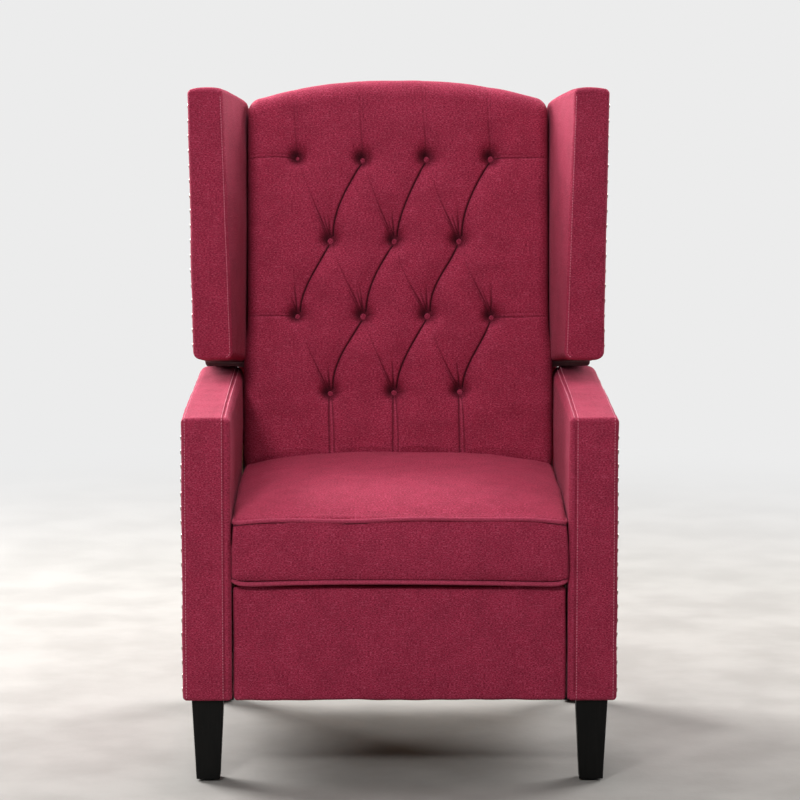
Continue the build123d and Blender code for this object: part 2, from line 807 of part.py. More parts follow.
# ---------------------------------------------------------------- tufted back cushion
groove_height = back_cushion_thickness - back_pillow_height
row_1 = back_corner - tuft_first_drop
row_2 = row_1 - tuft_row_steps[0]
row_3 = row_2 - tuft_row_steps[1]
row_4 = row_3 - tuft_row_steps[2]


def column(steps):
    """Distance of a tuft from the middle, counted in half pitches."""
    return steps * tuft_pitch / 2


def pillow_top(steps):
    """Level at which the pillows end below the rolled top edge."""
    return arch_level(column(steps), back_corner) - back_roll_radius


buttons = [(column(steps), level) for level in (row_1, row_3) for steps in (-3, -1, 1, 3)]
buttons += [(column(steps), level) for level in (row_2, row_4) for steps in (-2, 0, 2)]

pillows = []
for steps in (-2, 0, 2):
    pillows.append(
        (
            (column(steps - 1), row_1),
            (column(steps), row_2),
            (column(steps + 1), row_1),
            (column(steps + 1), pillow_top(steps + 1)),
            (column(steps - 1), pillow_top(steps - 1)),
        )
    )
    pillows.append(
        (
            (column(steps - 1), row_3),
            (column(steps), row_4),
            (column(steps + 1), row_3),
            (column(steps), row_2),
        )
    )
for steps in (-1, 1):
    pillows.append(
        (
            (column(steps - 1), row_2),
            (column(steps), row_3),
            (column(steps + 1), row_2),
            (column(steps), row_1),
        )
    )
    pillows.append(
        (
            (column(steps - 1), back_bottom),
            (column(steps + 1), back_bottom),
            (column(steps + 1), row_4),
            (column(steps), row_3),
            (column(steps - 1), row_4),
        )
    )
for side in (-1, 1):
    edge = side * cushion_side_x
    pillows.append(
        (
            (column(3 * side), row_1),
            (edge, row_1),
            (edge, back_corner - back_roll_radius),
            (column(3 * side), pillow_top(3)),
        )
    )
    pillows.append(
        (
            (column(3 * side), row_3),
            (edge, row_3),
            (edge, row_1),
            (column(3 * side), row_1),
            (column(2 * side), row_2),
        )
    )
    pillows.append(
        (
            (column(2 * side), back_bottom),
            (edge, back_bottom),
            (edge, row_3),
            (column(3 * side), row_3),
            (column(2 * side), row_4),
        )
    )

with BuildPart() as back_cushion:
    with BuildSketch(back_plane.offset(webbing_thickness)):
        with BuildLine():
            Polyline(
                (-cushion_side_x, back_corner),
                (-cushion_side_x, back_bottom),
                (cushion_side_x, back_bottom),
                (cushion_side_x, back_corner),
            )
            ThreePointArc(
                (cushion_side_x, back_corner),
                (0, back_corner + back_arch_rise),
                (-cushion_side_x, back_corner),
            )
        make_face()
    extrude(amount=groove_height - webbing_thickness)
    front_face = back_cushion.faces().sort_by(Axis.Y)[0]
    fillet(front_face.edges().sort_by(Axis.Z)[-1], back_roll_radius)
    # One pillow between each set of seams, crowned in two steps
    for outline in pillows:
        with BuildPart(mode=Mode.PRIVATE) as pillow:
            for inset, rise in ((0, 0), (pillow_inset, pillow_shoulder), (pillow_crown_inset, 1)):
                with BuildSketch(back_plane.offset(groove_height + rise * back_pillow_height)):
                    Polygon(*outline, align=None)
                    offset(
                        amount=-inset - pillow_seam / 2,
                        kind=Kind.INTERSECTION,
                        mode=Mode.REPLACE,
                    )
            loft()
        add(pillow.part)
    for x, level in buttons:
        with Locations(back_plane * Location((x, level, groove_height - pit_depth))):
            Cone(
                button_radius + soft_gap,
                pit_radius,
                back_pillow_height + pit_depth,
                align=(Align.CENTER, Align.CENTER, Align.MIN),
                mode=Mode.SUBTRACT,
            )
    # The lower front is pressed flat by the seat.
    with BuildSketch(Plane.YZ.offset(-cushion_side_x)):
        with Locations((seat_rear_y + seat_back_gap, seat_crown_z)):
            Rectangle(
                back_cushion_thickness,
                seat_crown_z - seat_rail_bottom_z,
                align=(Align.MAX, Align.MAX),
            )
    extrude(amount=2 * cushion_side_x, mode=Mode.SUBTRACT)
save(back_cushion, "back_cushion")

with BuildPart() as back_top_pad:
    # Padding that covers the top rail, between the cushion and the outside back
    with BuildSketch(back_plane.offset(-back_frame_depth)):
        with BuildLine():
            Line((-cushion_side_x, frame_corner), (-cushion_side_x, back_corner))
            ThreePointArc(
                (-cushion_side_x, back_corner),
                (0, back_corner + back_arch_rise),
                (cushion_side_x, back_corner),
            )
            Line((cushion_side_x, back_corner), (cushion_side_x, frame_corner))
            ThreePointArc(
                (cushion_side_x, frame_corner),
                (0, frame_corner + back_arch_rise),
                (-cushion_side_x, frame_corner),
            )
        make_face()
    extrude(amount=back_frame_depth + webbing_thickness)
    add(back_frame.part, mode=Mode.SUBTRACT)
save(back_top_pad, "back_top_pad")

with BuildPart() as back_buttons:
    with BuildSketch(back_plane.offset(groove_height - pit_depth)):
        with Locations(*buttons):
            Circle(button_radius)
    extrude(amount=button_height, taper=button_taper)
save(back_buttons, "back_buttons")

with BuildPart() as outside_back:
    with BuildSketch(back_plane.offset(-back_frame_depth)):
        with BuildLine():
            Polyline(
                (-back_half_width, back_corner),
                (-wing_rear_outer, back_corner),
                (-wing_rear_outer, wing_level),
                (-back_half_width, wing_level),
                (-back_half_width, back_bottom),
                (back_half_width, back_bottom),
                (back_half_width, wing_level),
                (wing_rear_outer, wing_level),
                (wing_rear_outer, back_corner),
                (back_half_width, back_corner),
            )
            ThreePointArc(
                (back_half_width, back_corner),
                (0, back_corner + back_arch_rise),
                (-back_half_width, back_corner),
            )
        make_face()
    extrude(amount=-outside_back_thickness)
save(outside_back, "outside_back")

# ---------------------------------------------------------------- wings
back_rear_offset = back_frame_depth / lean_cos
wing_rear_top_z = back_point(back_corner, -back_frame_depth)[1]
wing_top_z = wing_rear_top_z + wing_top_rise


def wing_share(height):
    """Share of the way from the bottom of a wing to its top."""
    return (height - wing_bottom_z) / (wing_top_z - wing_bottom_z)


def blend(low, high, share):
    """Value between two others."""
    return low + (high - low) * share


def wing_front_y(height):
    """Y of the front edge of a wing at a height."""
    setback = blend(wing_front_setback_bottom, wing_front_setback_top, wing_share(height))
    return front_y + setback


with BuildPart() as wing:
    for height in (wing_rear_bottom_z - wing_board_inset, wing_top_z + wing_board_inset):
        share = wing_share(height)
        outer = blend(wing_front_outer_bottom, wing_front_outer_top, share)
        inner = outer - blend(wing_front_thickness_bottom, wing_front_thickness_top, share)
        rear_y = back_line_y(height) + back_rear_offset
        with BuildSketch(Plane.XY.offset(height)):
            Polygon(
                (back_half_width, rear_y),
                (back_half_width, back_line_y(height) - wing_root_depth),
                (inner, wing_front_y(height)),
                (outer, wing_front_y(height)),
                (wing_rear_outer, rear_y),
                align=None,
            )
    loft(ruled=True)
    # Side outline: its top, a slight arc, and its bottom both fall towards the back
    front_top = (wing_front_y(wing_top_z), wing_top_z)
    rear_top = (back_line_y(wing_rear_top_z) + back_rear_offset, wing_rear_top_z)
    top_middle = middle(front_top, rear_top)
    with BuildSketch(Plane.YZ.offset(stile_outer_x)):
        with BuildLine():
            Polyline(
                front_top,
                (wing_front_y(wing_bottom_z), wing_bottom_z),
                (back_line_y(wing_rear_bottom_z) + back_rear_offset, wing_rear_bottom_z),
                rear_top,
            )
            ThreePointArc(rear_top, (top_middle[0], top_middle[1] + wing_top_bulge), front_top)
        make_face()
    extrude(amount=arm_outer_x, mode=Mode.INTERSECT)
    wing_front = wing.faces().sort_by(Axis.Y)[0]
    fillet(wing_front.edges(), wing_edge_radius)


def board_rear(height):
    """Y of the rear edge of a wing's board at a height."""
    return back_line_y(height) + back_rear_offset - wing_edge_radius


with BuildPart() as wing_board:
    with BuildSketch(Plane.YZ.offset(wing_board_x)):
        Polygon(
            (wing_front_y(wing_bottom_z) + wing_board_inset, wing_bottom_z + wing_board_inset),
            (
                board_rear(wing_rear_bottom_z + wing_board_inset),
                wing_rear_bottom_z + wing_board_inset,
            ),
            (board_rear(wing_rear_top_z - wing_board_inset), wing_rear_top_z - wing_board_inset),
            (wing_front_y(wing_top_z) + wing_board_inset, wing_top_z - wing_board_inset),
            align=None,
        )
    extrude(amount=wing_board_thickness)
    # Blocks that carry the board on the stile
    for share in wing_block_shares:
        low = blend(wing_level + wing_board_inset, frame_corner - wing_board_inset, share)
        with BuildSketch(Plane.YZ.offset(stile_outer_x)):
            with Locations(back_point(low - share * wing_block_height, -back_pivot_in_frame)):
                Rectangle(
                    back_frame_depth / 2,
                    wing_block_height,
                    rotation=-back_lean,
                    align=(Align.CENTER, Align.MIN),
                )
        extrude(amount=wing_board_x + wing_board_thickness - stile_outer_x)
save_pair(wing_board, "wing_board")

with BuildPart() as wing_cover:
    add(wing.part)
    add(wing_board.part, mode=Mode.SUBTRACT)
save_pair(wing_cover, "wing")

# ---------------------------------------------------------------- back brackets
with BuildPart() as back_bracket:
    upper = back_point(bracket_bolt_levels[-1] + link_width / 2, -back_pivot_in_frame)
    with BuildSketch(Plane.YZ.offset(swing_layer_x)):
        for first, last in ((upper, back_pivot), (back_pivot, seat_rear_pivot)):
            with Locations(middle(first, last)):
                SlotCenterToCenter(
                    distance_of(first, last), bracket_width, rotation=angle_of(first, last)
                )
        with Locations(back_pivot, seat_rear_pivot):
            Circle(hole_radius, mode=Mode.SUBTRACT)
        for level in bracket_bolt_levels:
            with Locations(back_point(level, -back_pivot_in_frame)):
                Circle(bolt_radius + bolt_clearance, mode=Mode.SUBTRACT)
    extrude(amount=plate_thickness)
save_pair(back_bracket, "back_bracket")

with BuildPart() as back_bracket_bolts:
    bracket_outer_x = swing_layer_x + plate_thickness
    for side in (-1, 1):
        for level in bracket_bolt_levels:
            point = back_point(level, -back_pivot_in_frame)
            pin(point, side * opening_half_width, side * bracket_outer_x, bolt_radius)
            pin(
                point,
                side * bracket_outer_x,
                side * (bracket_outer_x + bolt_head_height),
                bolt_head_radius,
            )
save(back_bracket_bolts, "back_bracket_bolts")

# ---------------------------------------------------------------- footrest
footrest_half_width = arm_inner_x - footrest_gap
footrest_height = footrest_top_z - body_bottom_z
footrest_front_y = front_y + footrest_setback
board_front_y = footrest_front_y + footrest_pad_thickness
board_rear_y = board_front_y + footrest_board_thickness
footrest_middle_z = (footrest_top_z + body_bottom_z) / 2

with BuildPart() as footrest_pad:
    with BuildSketch(Plane.XZ.offset(-board_front_y)):
        with Locations((0, footrest_middle_z)):
            RectangleRounded(2 * footrest_half_width, footrest_height, footrest_corner_radius)
    extrude(amount=footrest_pad_thickness)
    fillet(footrest_pad.faces().sort_by(Axis.Y)[0].edges(), footrest_edge_radius)
save(footrest_pad, "footrest_pad")

board_half_width = footrest_half_width - footrest_board_inset
board_height = footrest_height - 2 * footrest_corner_radius
flange_inner_x = link_layer_x + plate_thickness - bracket_flange_width
screw_x = flange_inner_x + bracket_flange_width / 2
screw_points = [
    (side * screw_x, footrest_middle_z + half * (board_height / 2 - link_width))
    for side in (-1, 1)
    for half in (-1, 1)
]

with BuildPart() as footrest_board:
    with BuildSketch(Plane.XZ.offset(-board_rear_y)):
        with Locations((0, footrest_middle_z)):
            Rectangle(2 * board_half_width, board_height)
        with Locations(*screw_points):
            Circle(screw_radius + bolt_clearance, mode=Mode.SUBTRACT)
    extrude(amount=footrest_board_thickness)
save(footrest_board, "footrest_board")

with BuildPart() as footrest_bracket:
    flange_low_z = footrest_middle_z - board_height / 2
    with BuildSketch(Plane.YZ.offset(link_layer_x)) as bracket_profile:
        Polygon(
            (board_rear_y, flange_low_z),
            (bracket_pivot[0] + link_width / 2, bracket_pivot[1] - link_width / 2),
            (bracket_pivot[0] + link_width / 2, bracket_pivot[1] + link_width / 4),
            (support_end[0] + link_width / 4, support_end[1] + link_width / 2),
            (board_rear_y, support_end[1] + link_width / 2),
            align=None,
        )
        fillet(bracket_profile.vertices().group_by(Axis.Y)[1:], bracket_corner_radius)
        with Locations(bracket_pivot, support_end):
            Circle(hole_radius, mode=Mode.SUBTRACT)
    extrude(amount=plate_thickness)
    with BuildSketch(Plane.XZ.offset(-board_rear_y - plate_thickness)):
        with Locations((flange_inner_x, flange_low_z)):
            Rectangle(
                bracket_flange_width,
                board_height,
                align=(Align.MIN, Align.MIN),
            )
        with Locations(*[point for point in screw_points if point[0] > 0]):
            Circle(screw_radius + bolt_clearance, mode=Mode.SUBTRACT)
    extrude(amount=plate_thickness)
save_pair(footrest_bracket, "footrest_bracket")
make_link_pins("footrest_bracket_pins", (bracket_pivot, support_end))

with BuildPart() as footrest_screws:
    head_y = board_rear_y + plate_thickness
    with BuildSketch(Plane.XZ.offset(-head_y)):
        with Locations(*screw_points):
            Circle(screw_radius)
    extrude(amount=screw_length)
    with BuildSketch(Plane.XZ.offset(-head_y - screw_head_height)):
        with Locations(*screw_points):
            Circle(screw_head_radius)
    extrude(amount=screw_head_height)
save(footrest_screws, "footrest_screws")
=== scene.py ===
import json
from math import cos, pi, radians, sin, tan

import bpy
import numpy as np
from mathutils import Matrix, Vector
from mathutils.bvhtree import BVHTree


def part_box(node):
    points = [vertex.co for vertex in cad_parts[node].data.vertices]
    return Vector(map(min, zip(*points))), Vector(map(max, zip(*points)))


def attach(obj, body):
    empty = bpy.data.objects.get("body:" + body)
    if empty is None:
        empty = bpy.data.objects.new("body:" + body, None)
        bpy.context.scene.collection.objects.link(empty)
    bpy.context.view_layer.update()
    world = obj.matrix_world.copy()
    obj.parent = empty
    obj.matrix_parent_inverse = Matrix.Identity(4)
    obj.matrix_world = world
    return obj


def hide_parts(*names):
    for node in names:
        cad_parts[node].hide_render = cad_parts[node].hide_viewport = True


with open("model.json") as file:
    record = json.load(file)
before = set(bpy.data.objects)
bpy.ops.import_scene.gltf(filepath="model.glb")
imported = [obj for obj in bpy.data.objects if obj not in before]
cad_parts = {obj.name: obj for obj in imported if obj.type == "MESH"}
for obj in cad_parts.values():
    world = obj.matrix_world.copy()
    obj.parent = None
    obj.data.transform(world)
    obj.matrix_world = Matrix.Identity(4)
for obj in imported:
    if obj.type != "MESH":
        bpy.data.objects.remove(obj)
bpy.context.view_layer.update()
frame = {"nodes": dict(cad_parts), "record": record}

# ---------------------------------------------------------------- places taken from the frame
MM = 0.001
arm_low, arm_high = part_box("arm_right")
wing_low, wing_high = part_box("wing_right")
pad_low, pad_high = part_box("footrest_pad")
back_low, back_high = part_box("back_frame")
seat_frame_low, seat_frame_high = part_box("seat_frame")

FRONT_Y = arm_low.y

# Back, along its lean
LEAN = radians(12)
FRAME_DEPTH = 44 * MM
BACK_BOTTOM = -38 * MM  # level of the bottom of the back, from the back pivot
BACK_PIVOT_Z = 438 * MM
BACK_HALF_WIDTH = back_high.x
BACK_THICKNESS = 80 * MM
BACK_CORNER = 626 * MM
BACK_ARCH = 36 * MM
BACK_ROLL = 34 * MM
BACK_Y = back_low.y - BACK_BOTTOM * sin(LEAN)
TUFT_ROWS = np.array((521, 378, 245, 112)) * MM
TUFT_STEP = 56.5 * MM  # half the pitch of the buttons in a row
TUFT_SHIFT = -6 * MM
TUFT_SLIP = 1.6 * MM  # how far a button may lie off its place
COLUMNS = {0: (-3, -1, 1, 3), 1: (-2, 0, 2), 2: (-3, -1, 1, 3), 3: (-2, 0, 2)}

# Seat
SEAT_REAR_Y = seat_frame_high.y
SEAT_HALF_WIDTH = 268.5 * MM
SEAT_DEPTH = 512 * MM
SEAT_SIDE_Z = 434 * MM
SEAT_WELT_Z = 431 * MM
SEAT_CROWN_Z = 470 * MM
SEAT_BAND_LOW_Z = 329 * MM
SEAT_BOTTOM_Z = 392 * MM
BAND_BULGE = 11 * MM

# Wings, as (at the bottom, at the top)
WING_ROOT_X = 263.2 * MM
WING_ROOT_DEPTH = 34 * MM
WING_REAR_OUTER = 338 * MM
WING_OUTER = (349 * MM, 358 * MM)
WING_THICKNESS = (67 * MM, 60 * MM)
WING_FRONT = (410 * MM, 446 * MM)  # behind the arms' front
WING_FRONT_Z = (637 * MM, wing_high.z)
WING_REAR_Z = (wing_low.z, BACK_PIVOT_Z + BACK_CORNER * cos(LEAN) - FRAME_DEPTH * sin(LEAN))
WING_TOP_BULGE = 4 * MM
WING_LIP = 9 * MM  # the cloth hangs this far lower behind the arm


def lerp(low, high, share):
    return low + (high - low) * share


def smooth(value, low, high):
    """0 below low, 1 above high, and a smooth step between."""
    share = np.clip((value - low) / (high - low), 0, 1)
    return share * share * (3 - 2 * share)


def add_object(name, data):
    made = bpy.data.objects.new(name, data)
    bpy.context.scene.collection.objects.link(made)
    return made


# ---------------------------------------------------------------- materials
def srgb(red, green, blue):
    """Linear colour from 8-bit values."""
    linear = [
        c / 12.92 if c <= 0.04045 else ((c + 0.055) / 1.055) ** 2.4
        for c in (red / 255, green / 255, blue / 255)
    ]
    return (*linear, 1.0)


class Shader:
    """A node material that is built call by call."""

    def __init__(self, name):
        self.material = bpy.data.materials.new(name)
        self.material.use_nodes = True
        self.tree = self.material.node_tree
        self.tree.nodes.clear()
        self.output = self.node("ShaderNodeOutputMaterial")
        self.surface = self.node("ShaderNodeBsdfPrincipled")
        self.link(self.surface.outputs["BSDF"], self.output.inputs["Surface"])

    def link(self, source, target):
        self.tree.links.new(source, target)

    def give(self, target, value):
        """Links a socket, or sets a plain value."""
        if isinstance(value, bpy.types.NodeSocket):
            self.link(value, target)
        else:
            target.default_value = value

    def node(self, kind, inputs=(), **settings):
        """Adds a node, with its inputs given in turn or by their keys."""
        made = self.tree.nodes.new(kind)
        for key, value in settings.items():
            setattr(made, key, value)
        for key, value in (inputs if isinstance(inputs, dict) else dict(enumerate(inputs))).items():
            self.give(made.inputs[key], value)
        return made

    def set(self, **values):
        for key, value in values.items():
            self.give(self.surface.inputs[key.replace("_", " ")], value)

    def math(self, operation, *values):
        return self.node("ShaderNodeMath", values, operation=operation).outputs[0]

    def vector_math(self, operation, *values):
        made = self.node("ShaderNodeVectorMath", values, operation=operation)
        return made.outputs["Value" if operation == "LENGTH" else "Vector"]

    def parts(self, vector):
        return self.node("ShaderNodeSeparateXYZ", (vector,)).outputs

    def mix(self, factor, first, second):
        inputs = {0: factor, 6: first, 7: second}  # the colour sockets of this node
        return self.node("ShaderNodeMix", inputs, data_type="RGBA").outputs[2]

    def span(self, value, low, high, to_low=0.0, to_high=1.0):
        inputs = (value, low, high, to_low, to_high)
        return self.node("ShaderNodeMapRange", inputs, interpolation_type="SMOOTHSTEP").outputs[0]

    def stain(self, color, *layers):
        """Lays tints over a colour, each where a value runs from start to full, up to a share."""
        for value, start, full, share, tint in layers:
            color = self.mix(self.span(value, start, full, 0.0, share), color, tint)
        return color

    def total(self, first, *others):
        """A value with others added, each times its weight."""
        for value, weight in others:
            first = self.math("ADD", first, self.math("MULTIPLY", value, weight))
        return first

    def place(self):
        return self.node("ShaderNodeTexCoord").outputs["Object"]

    def pointiness(self):
        return self.node("ShaderNodeNewGeometry").outputs["Pointiness"]

    def noise(self, vector, scale, stretch=(1, 1, 1), detail=2.0, roughness=0.5):
        mapped = self.vector_math("MULTIPLY", vector, Vector(stretch))
        inputs = {"Vector": mapped, "Scale": scale, "Detail": detail, "Roughness": roughness}
        return self.node("ShaderNodeTexNoise", inputs).outputs["Fac"]

    def bump(self, height, strength, distance):
        inputs = {"Strength": strength, "Distance": distance, "Height": height}
        return self.node("ShaderNodeBump", inputs).outputs["Normal"]


FACING = 0.72  # part of a normal from which cloth counts as lying across that axis


def cloth_plane(shader):
    """Coordinates in the plane that a piece of cloth mostly lies in, chosen by its normal."""
    coordinates = shader.node("ShaderNodeTexCoord")
    across, along, up = shader.parts(coordinates.outputs["Object"])
    facing = shader.parts(coordinates.outputs["Normal"])
    sideways, upward = (
        shader.math("GREATER_THAN", shader.math("ABSOLUTE", facing[axis]), FACING) for axis in (0, 2)
    )

    def pick(switch, first, second):
        rest = shader.math("MULTIPLY", first, shader.math("SUBTRACT", 1.0, switch))
        return shader.math("ADD", rest, shader.math("MULTIPLY", second, switch))

    sides = (pick(sideways, across, along), pick(upward, up, along))
    return shader.node("ShaderNodeCombineXYZ", sides).outputs[0]


def weave_height(shader, plane, thread):
    """Plain weave: threads of two directions that pass over each other in turn."""
    turns = [shader.math("MULTIPLY", side, pi / thread) for side in shader.parts(plane)[:2]]
    waves = [shader.math("SINE", turn) for turn in turns]
    crossing = shader.math("MULTIPLY", *waves)
    ribs = [shader.math("ABSOLUTE", wave) for wave in waves]
    body = shader.math("MULTIPLY", shader.math("ADD", *ribs), 0.3)
    return shader.total(body, (crossing, 0.4))


THREAD = 1.35 * MM
STRAP_THREAD = 2.4 * MM
FOLD_SHADE_COLOR = srgb(38, 5, 16)  # painted shade in folds, pits, welts and under the wings
GROUND, DARK, LIGHT = srgb(158, 40, 69), srgb(94, 13, 34), srgb(206, 92, 120)


def fabric(name, ground, dark, light, edge_wear_and_shade=1.0):
    """Heathered linen weave: streaks along both threads over a mottled ground."""
    shader = Shader(name)
    plane = cloth_plane(shader)
    weft = shader.noise(plane, 1.0, (290, 1200, 0), 3.0, 0.65)
    warp = shader.noise(plane, 1.0, (1200, 270, 0), 3.0, 0.65)
    slub = shader.noise(plane, 1.0, (60, 420, 0), 2.0)
    mottle = shader.noise(shader.place(), 26.0, detail=4.0, roughness=0.6)
    grain = shader.noise(plane, 620.0, detail=1.0)
    fleck = shader.noise(plane, 1.0, (500, 900, 0), 3.0, 0.75)
    edge = shader.pointiness()
    fold = shader.node("ShaderNodeAttribute", attribute_name="fold").outputs["Fac"]
    color = shader.stain(
        ground,
        (weft, 0.52, 0.63, 0.9, dark),
        (warp, 0.54, 0.65, 0.85, dark),
        (weft, 0.47, 0.36, 0.65, light),
        (slub, 0.56, 0.70, 0.25, light),
        (fleck, 0.55, 0.66, 0.85, dark),
        (grain, 0.52, 0.74, 0.35, dark),
        (mottle, 0.35, 0.70, 0.22, dark),
        # Paler on raised edges, as worn cloth; darker in hollows and creases: painted shade.
        (edge, 0.505, 0.56, 0.22 * edge_wear_and_shade, light),
        (edge, 0.495, 0.44, 0.5 * edge_wear_and_shade, dark),
        # Painted shade in folds, pits, welts and under the wings; painted highlight beside folds.
        (fold, 0.0, 1.0, 0.93, FOLD_SHADE_COLOR),
        (fold, 0.0, -1.0, 0.95, light),
    )
    height = shader.total(weave_height(shader, plane, THREAD), (slub, 0.7), (grain, 0.5))
    shader.set(
        Base_Color=color,
        Roughness=shader.span(grain, 0.3, 0.7, 0.78, 0.95),
        Normal=shader.bump(height, 0.5, 0.5 * MM),
        Sheen_Weight=0.08,
        Sheen_Roughness=0.36,
        Sheen_Tint=srgb(255, 160, 184),
        Specular_IOR_Level=0.2,
    )
    return shader.material


def painted_wood(name, ground, worn, roughness):
    """Painted or stained wood with its grain just showing through."""
    shader = Shader(name)
    place = shader.place()
    grain = shader.noise(place, 1.0, (260, 260, 14), 6.0, 0.65)
    pores = shader.noise(place, 1.0, (900, 900, 40), 2.0)
    smear = shader.noise(place, 9.0, detail=3.0)
    layers = (grain, 0.42, 0.66, 0.5, worn), (shader.pointiness(), 0.53, 0.62, 0.5, worn)
    shader.set(
        Base_Color=shader.stain(ground, *layers),
        Roughness=shader.span(smear, 0.3, 0.7, roughness - 0.06, roughness + 0.1),
        Normal=shader.bump(shader.total(grain, (pores, 0.6)), 0.25, 0.3 * MM),
        Specular_IOR_Level=0.16,
        Coat_Weight=0.03,
        Coat_Roughness=0.3,
    )
    return shader.material


def raw_wood(name):
    """Planed softwood rails and plywood panels, unfinished."""
    shader = Shader(name)
    place = shader.place()
    stretched = shader.vector_math("MULTIPLY", place, Vector((2.0, 0.5, 1.0)))
    inputs = {"Vector": stretched, "Scale": 26.0, "Distortion": 7.0, "Detail": 3.0}
    bands = shader.node("ShaderNodeTexWave", inputs, bands_direction="Z").outputs["Fac"]
    fibre = shader.noise(place, 1.0, (40, 12, 700), 4.0, 0.6)
    knots = shader.noise(place, 7.0, detail=2.0)
    color = shader.stain(
        shader.mix(bands, srgb(205, 170, 122), srgb(176, 134, 88)),
        (fibre, 0.45, 0.7, 0.5, srgb(140, 100, 62)),
        (knots, 0.66, 0.74, 0.7, srgb(110, 72, 44)),
    )
    shader.set(
        Base_Color=color,
        Roughness=shader.span(fibre, 0.3, 0.7, 0.6, 0.8),
        Normal=shader.bump(fibre, 0.35, 0.4 * MM),
    )
    return shader.material


def metal(name, color, tint, metallic, roughness, scratch):
    """Sheet steel or plated hardware, with uneven sheen and rubbed edges."""
    shader = Shader(name)
    place = shader.place()
    cloud = shader.noise(place, 38.0, detail=5.0, roughness=0.65)
    brush = shader.noise(place, 1.0, (180, 1400, 220), 3.0)
    wear_and_highlight = (shader.pointiness(), 0.53, 0.6, 0.5, srgb(178, 176, 170))
    shader.set(
        Base_Color=shader.stain(color, (cloud, 0.35, 0.7, 0.6, tint), wear_and_highlight),
        Metallic=metallic,
        Roughness=shader.span(cloud, 0.3, 0.7, roughness - 0.07, roughness + 0.12),
        Normal=shader.bump(brush, scratch, 0.1 * MM),
    )
    return shader.material


def webbing(name):
    """Elastic webbing with uneven dark and pale threads."""
    shader = Shader(name)
    place = shader.place()
    ribs = shader.noise(place, 1.0, (500, 500, 500), 1.0)
    stripe = shader.noise(place, 1.0, (90, 90, 90), 1.0)
    layers = (stripe, 0.5, 0.6, 1.0, srgb(92, 86, 82)), (ribs, 0.5, 0.7, 0.5, srgb(18, 17, 17))
    weave = weave_height(shader, cloth_plane(shader), STRAP_THREAD)
    shader.set(
        Base_Color=shader.stain(srgb(38, 36, 36), *layers),
        Roughness=shader.span(ribs, 0.3, 0.7, 0.8, 0.95),
        Normal=shader.bump(weave, 0.6, 0.5 * MM),
    )
    return shader.material


def moulded_plastic(name):
    """Black moulded glides with a fine spark-eroded grain."""
    shader = Shader(name)
    place = shader.place()
    grain = shader.noise(place, 900.0, detail=2.0)
    scuff = shader.noise(place, 60.0, detail=4.0)
    shader.set(
        Base_Color=shader.stain(srgb(24, 24, 25), (scuff, 0.45, 0.7, 0.5, srgb(58, 57, 55))),
        Roughness=shader.span(scuff, 0.3, 0.7, 0.42, 0.62),
        Normal=shader.bump(grain, 0.3, 0.15 * MM),
    )
    return shader.material


THREAD_COLORS = srgb(214, 132, 150), srgb(160, 70, 92), srgb(236, 178, 190)
STEEL = srgb(58, 58, 60), srgb(40, 40, 42)
ZINC = srgb(190, 188, 180), srgb(150, 148, 140)
NICKEL = srgb(176, 168, 160), srgb(124, 114, 108)
materials = {
    "upholstery": fabric("raspberry_linen", GROUND, DARK, LIGHT),
    "thread": fabric("topstitch_thread", *THREAD_COLORS, edge_wear_and_shade=0.3),
    "leg_wood": painted_wood("black_leg_finish", srgb(6, 6, 5), srgb(18, 16, 14), 0.5),
    "frame_wood": raw_wood("frame_timber"),
    "mechanism_steel": metal("mechanism_steel_finish", *STEEL, 0.75, 0.42, 0.2),
    "zinc_hardware": metal("zinc_plating", *ZINC, 1.0, 0.32, 0.15),
    "nickel": metal("nickel_nail_heads", *NICKEL, 1.0, 0.3, 0.08),
    "elastic_webbing": webbing("black_webbing"),
    "glide_plastic": moulded_plastic("glide_finish"),
}

for node in frame["record"]["subparts"]:
    finish = node["material_slot"]
    if finish in materials:
        mesh = frame["nodes"][node["node"]].data
        mesh.materials.clear()
        mesh.materials.append(materials[finish])


# ---------------------------------------------------------------- mesh helpers
def make_piece(name, vertices, faces, body, finish="upholstery", slot="upholstery_fabric"):
    """Mesh object with smooth shading that rides on a body."""
    mesh = bpy.data.meshes.new(name)
    mesh.from_pydata(np.asarray(vertices).tolist(), [], [list(map(int, face)) for face in faces])
    mesh.polygons.foreach_set("use_smooth", [True] * len(mesh.polygons))
    mesh.materials.append(materials[finish])
    mesh.update()
    piece = add_object(name, mesh)
    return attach(piece, body)


def make_pad(name, vertices, faces, body, nodes):
    """Padded piece that stands for some soft solids of the frame."""
    cover = make_piece(name, vertices, faces, body)
    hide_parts(*nodes)
    return cover


def keep_painted_shade(piece, painted_shades):
    """Keeps each point's painted shade, or below 0 its painted highlight, for the cloth's colour."""
    layer = piece.data.attributes.new("fold", "FLOAT", "POINT")
    layer.data.foreach_set("value", np.asarray(painted_shades, float))


def ripple(points, size, seed, waves=9):
    """Smooth unevenness between about -1 and 1, the same at each run."""
    draw = np.random.default_rng(seed)
    total = np.zeros(len(points))
    for _ in range(waves):
        direction = draw.normal(size=3)
        direction /= np.linalg.norm(direction)
        length = size * draw.uniform(0.7, 1.6)
        total += np.sin(points @ direction * (2 * pi / length) + draw.uniform(0, 2 * pi))
    return total / waves**0.5


def uneven(points, *waves):
    """Unevenness of cloth, from heights in millimetres, sizes and seeds."""
    return sum(height * MM * ripple(points, size, seed) for height, size, seed in waves)


ROUND_STEPS = 5


def side_places(length, radius, step, extra=()):
    """Places along one side of a rounded box, closer together where its edges turn."""
    flat = length / 2 - radius
    inner = np.linspace(-flat, flat, max(2, round(2 * flat / step) + 1))
    inner = np.unique(np.concatenate([inner, [e for e in extra if abs(e) < flat]]))
    turn = radius * np.tan(np.linspace(0, pi / 4, ROUND_STEPS + 1))[1:]
    return np.concatenate([-flat - turn[::-1], inner, flat + turn])


def near_edges(length, radius, count=6, step=3 * MM):
    """Extra places along one side, near its two ends."""
    return [sign * (length / 2 - radius - k * step) for k in range(1, count) for sign in (-1, 1)]


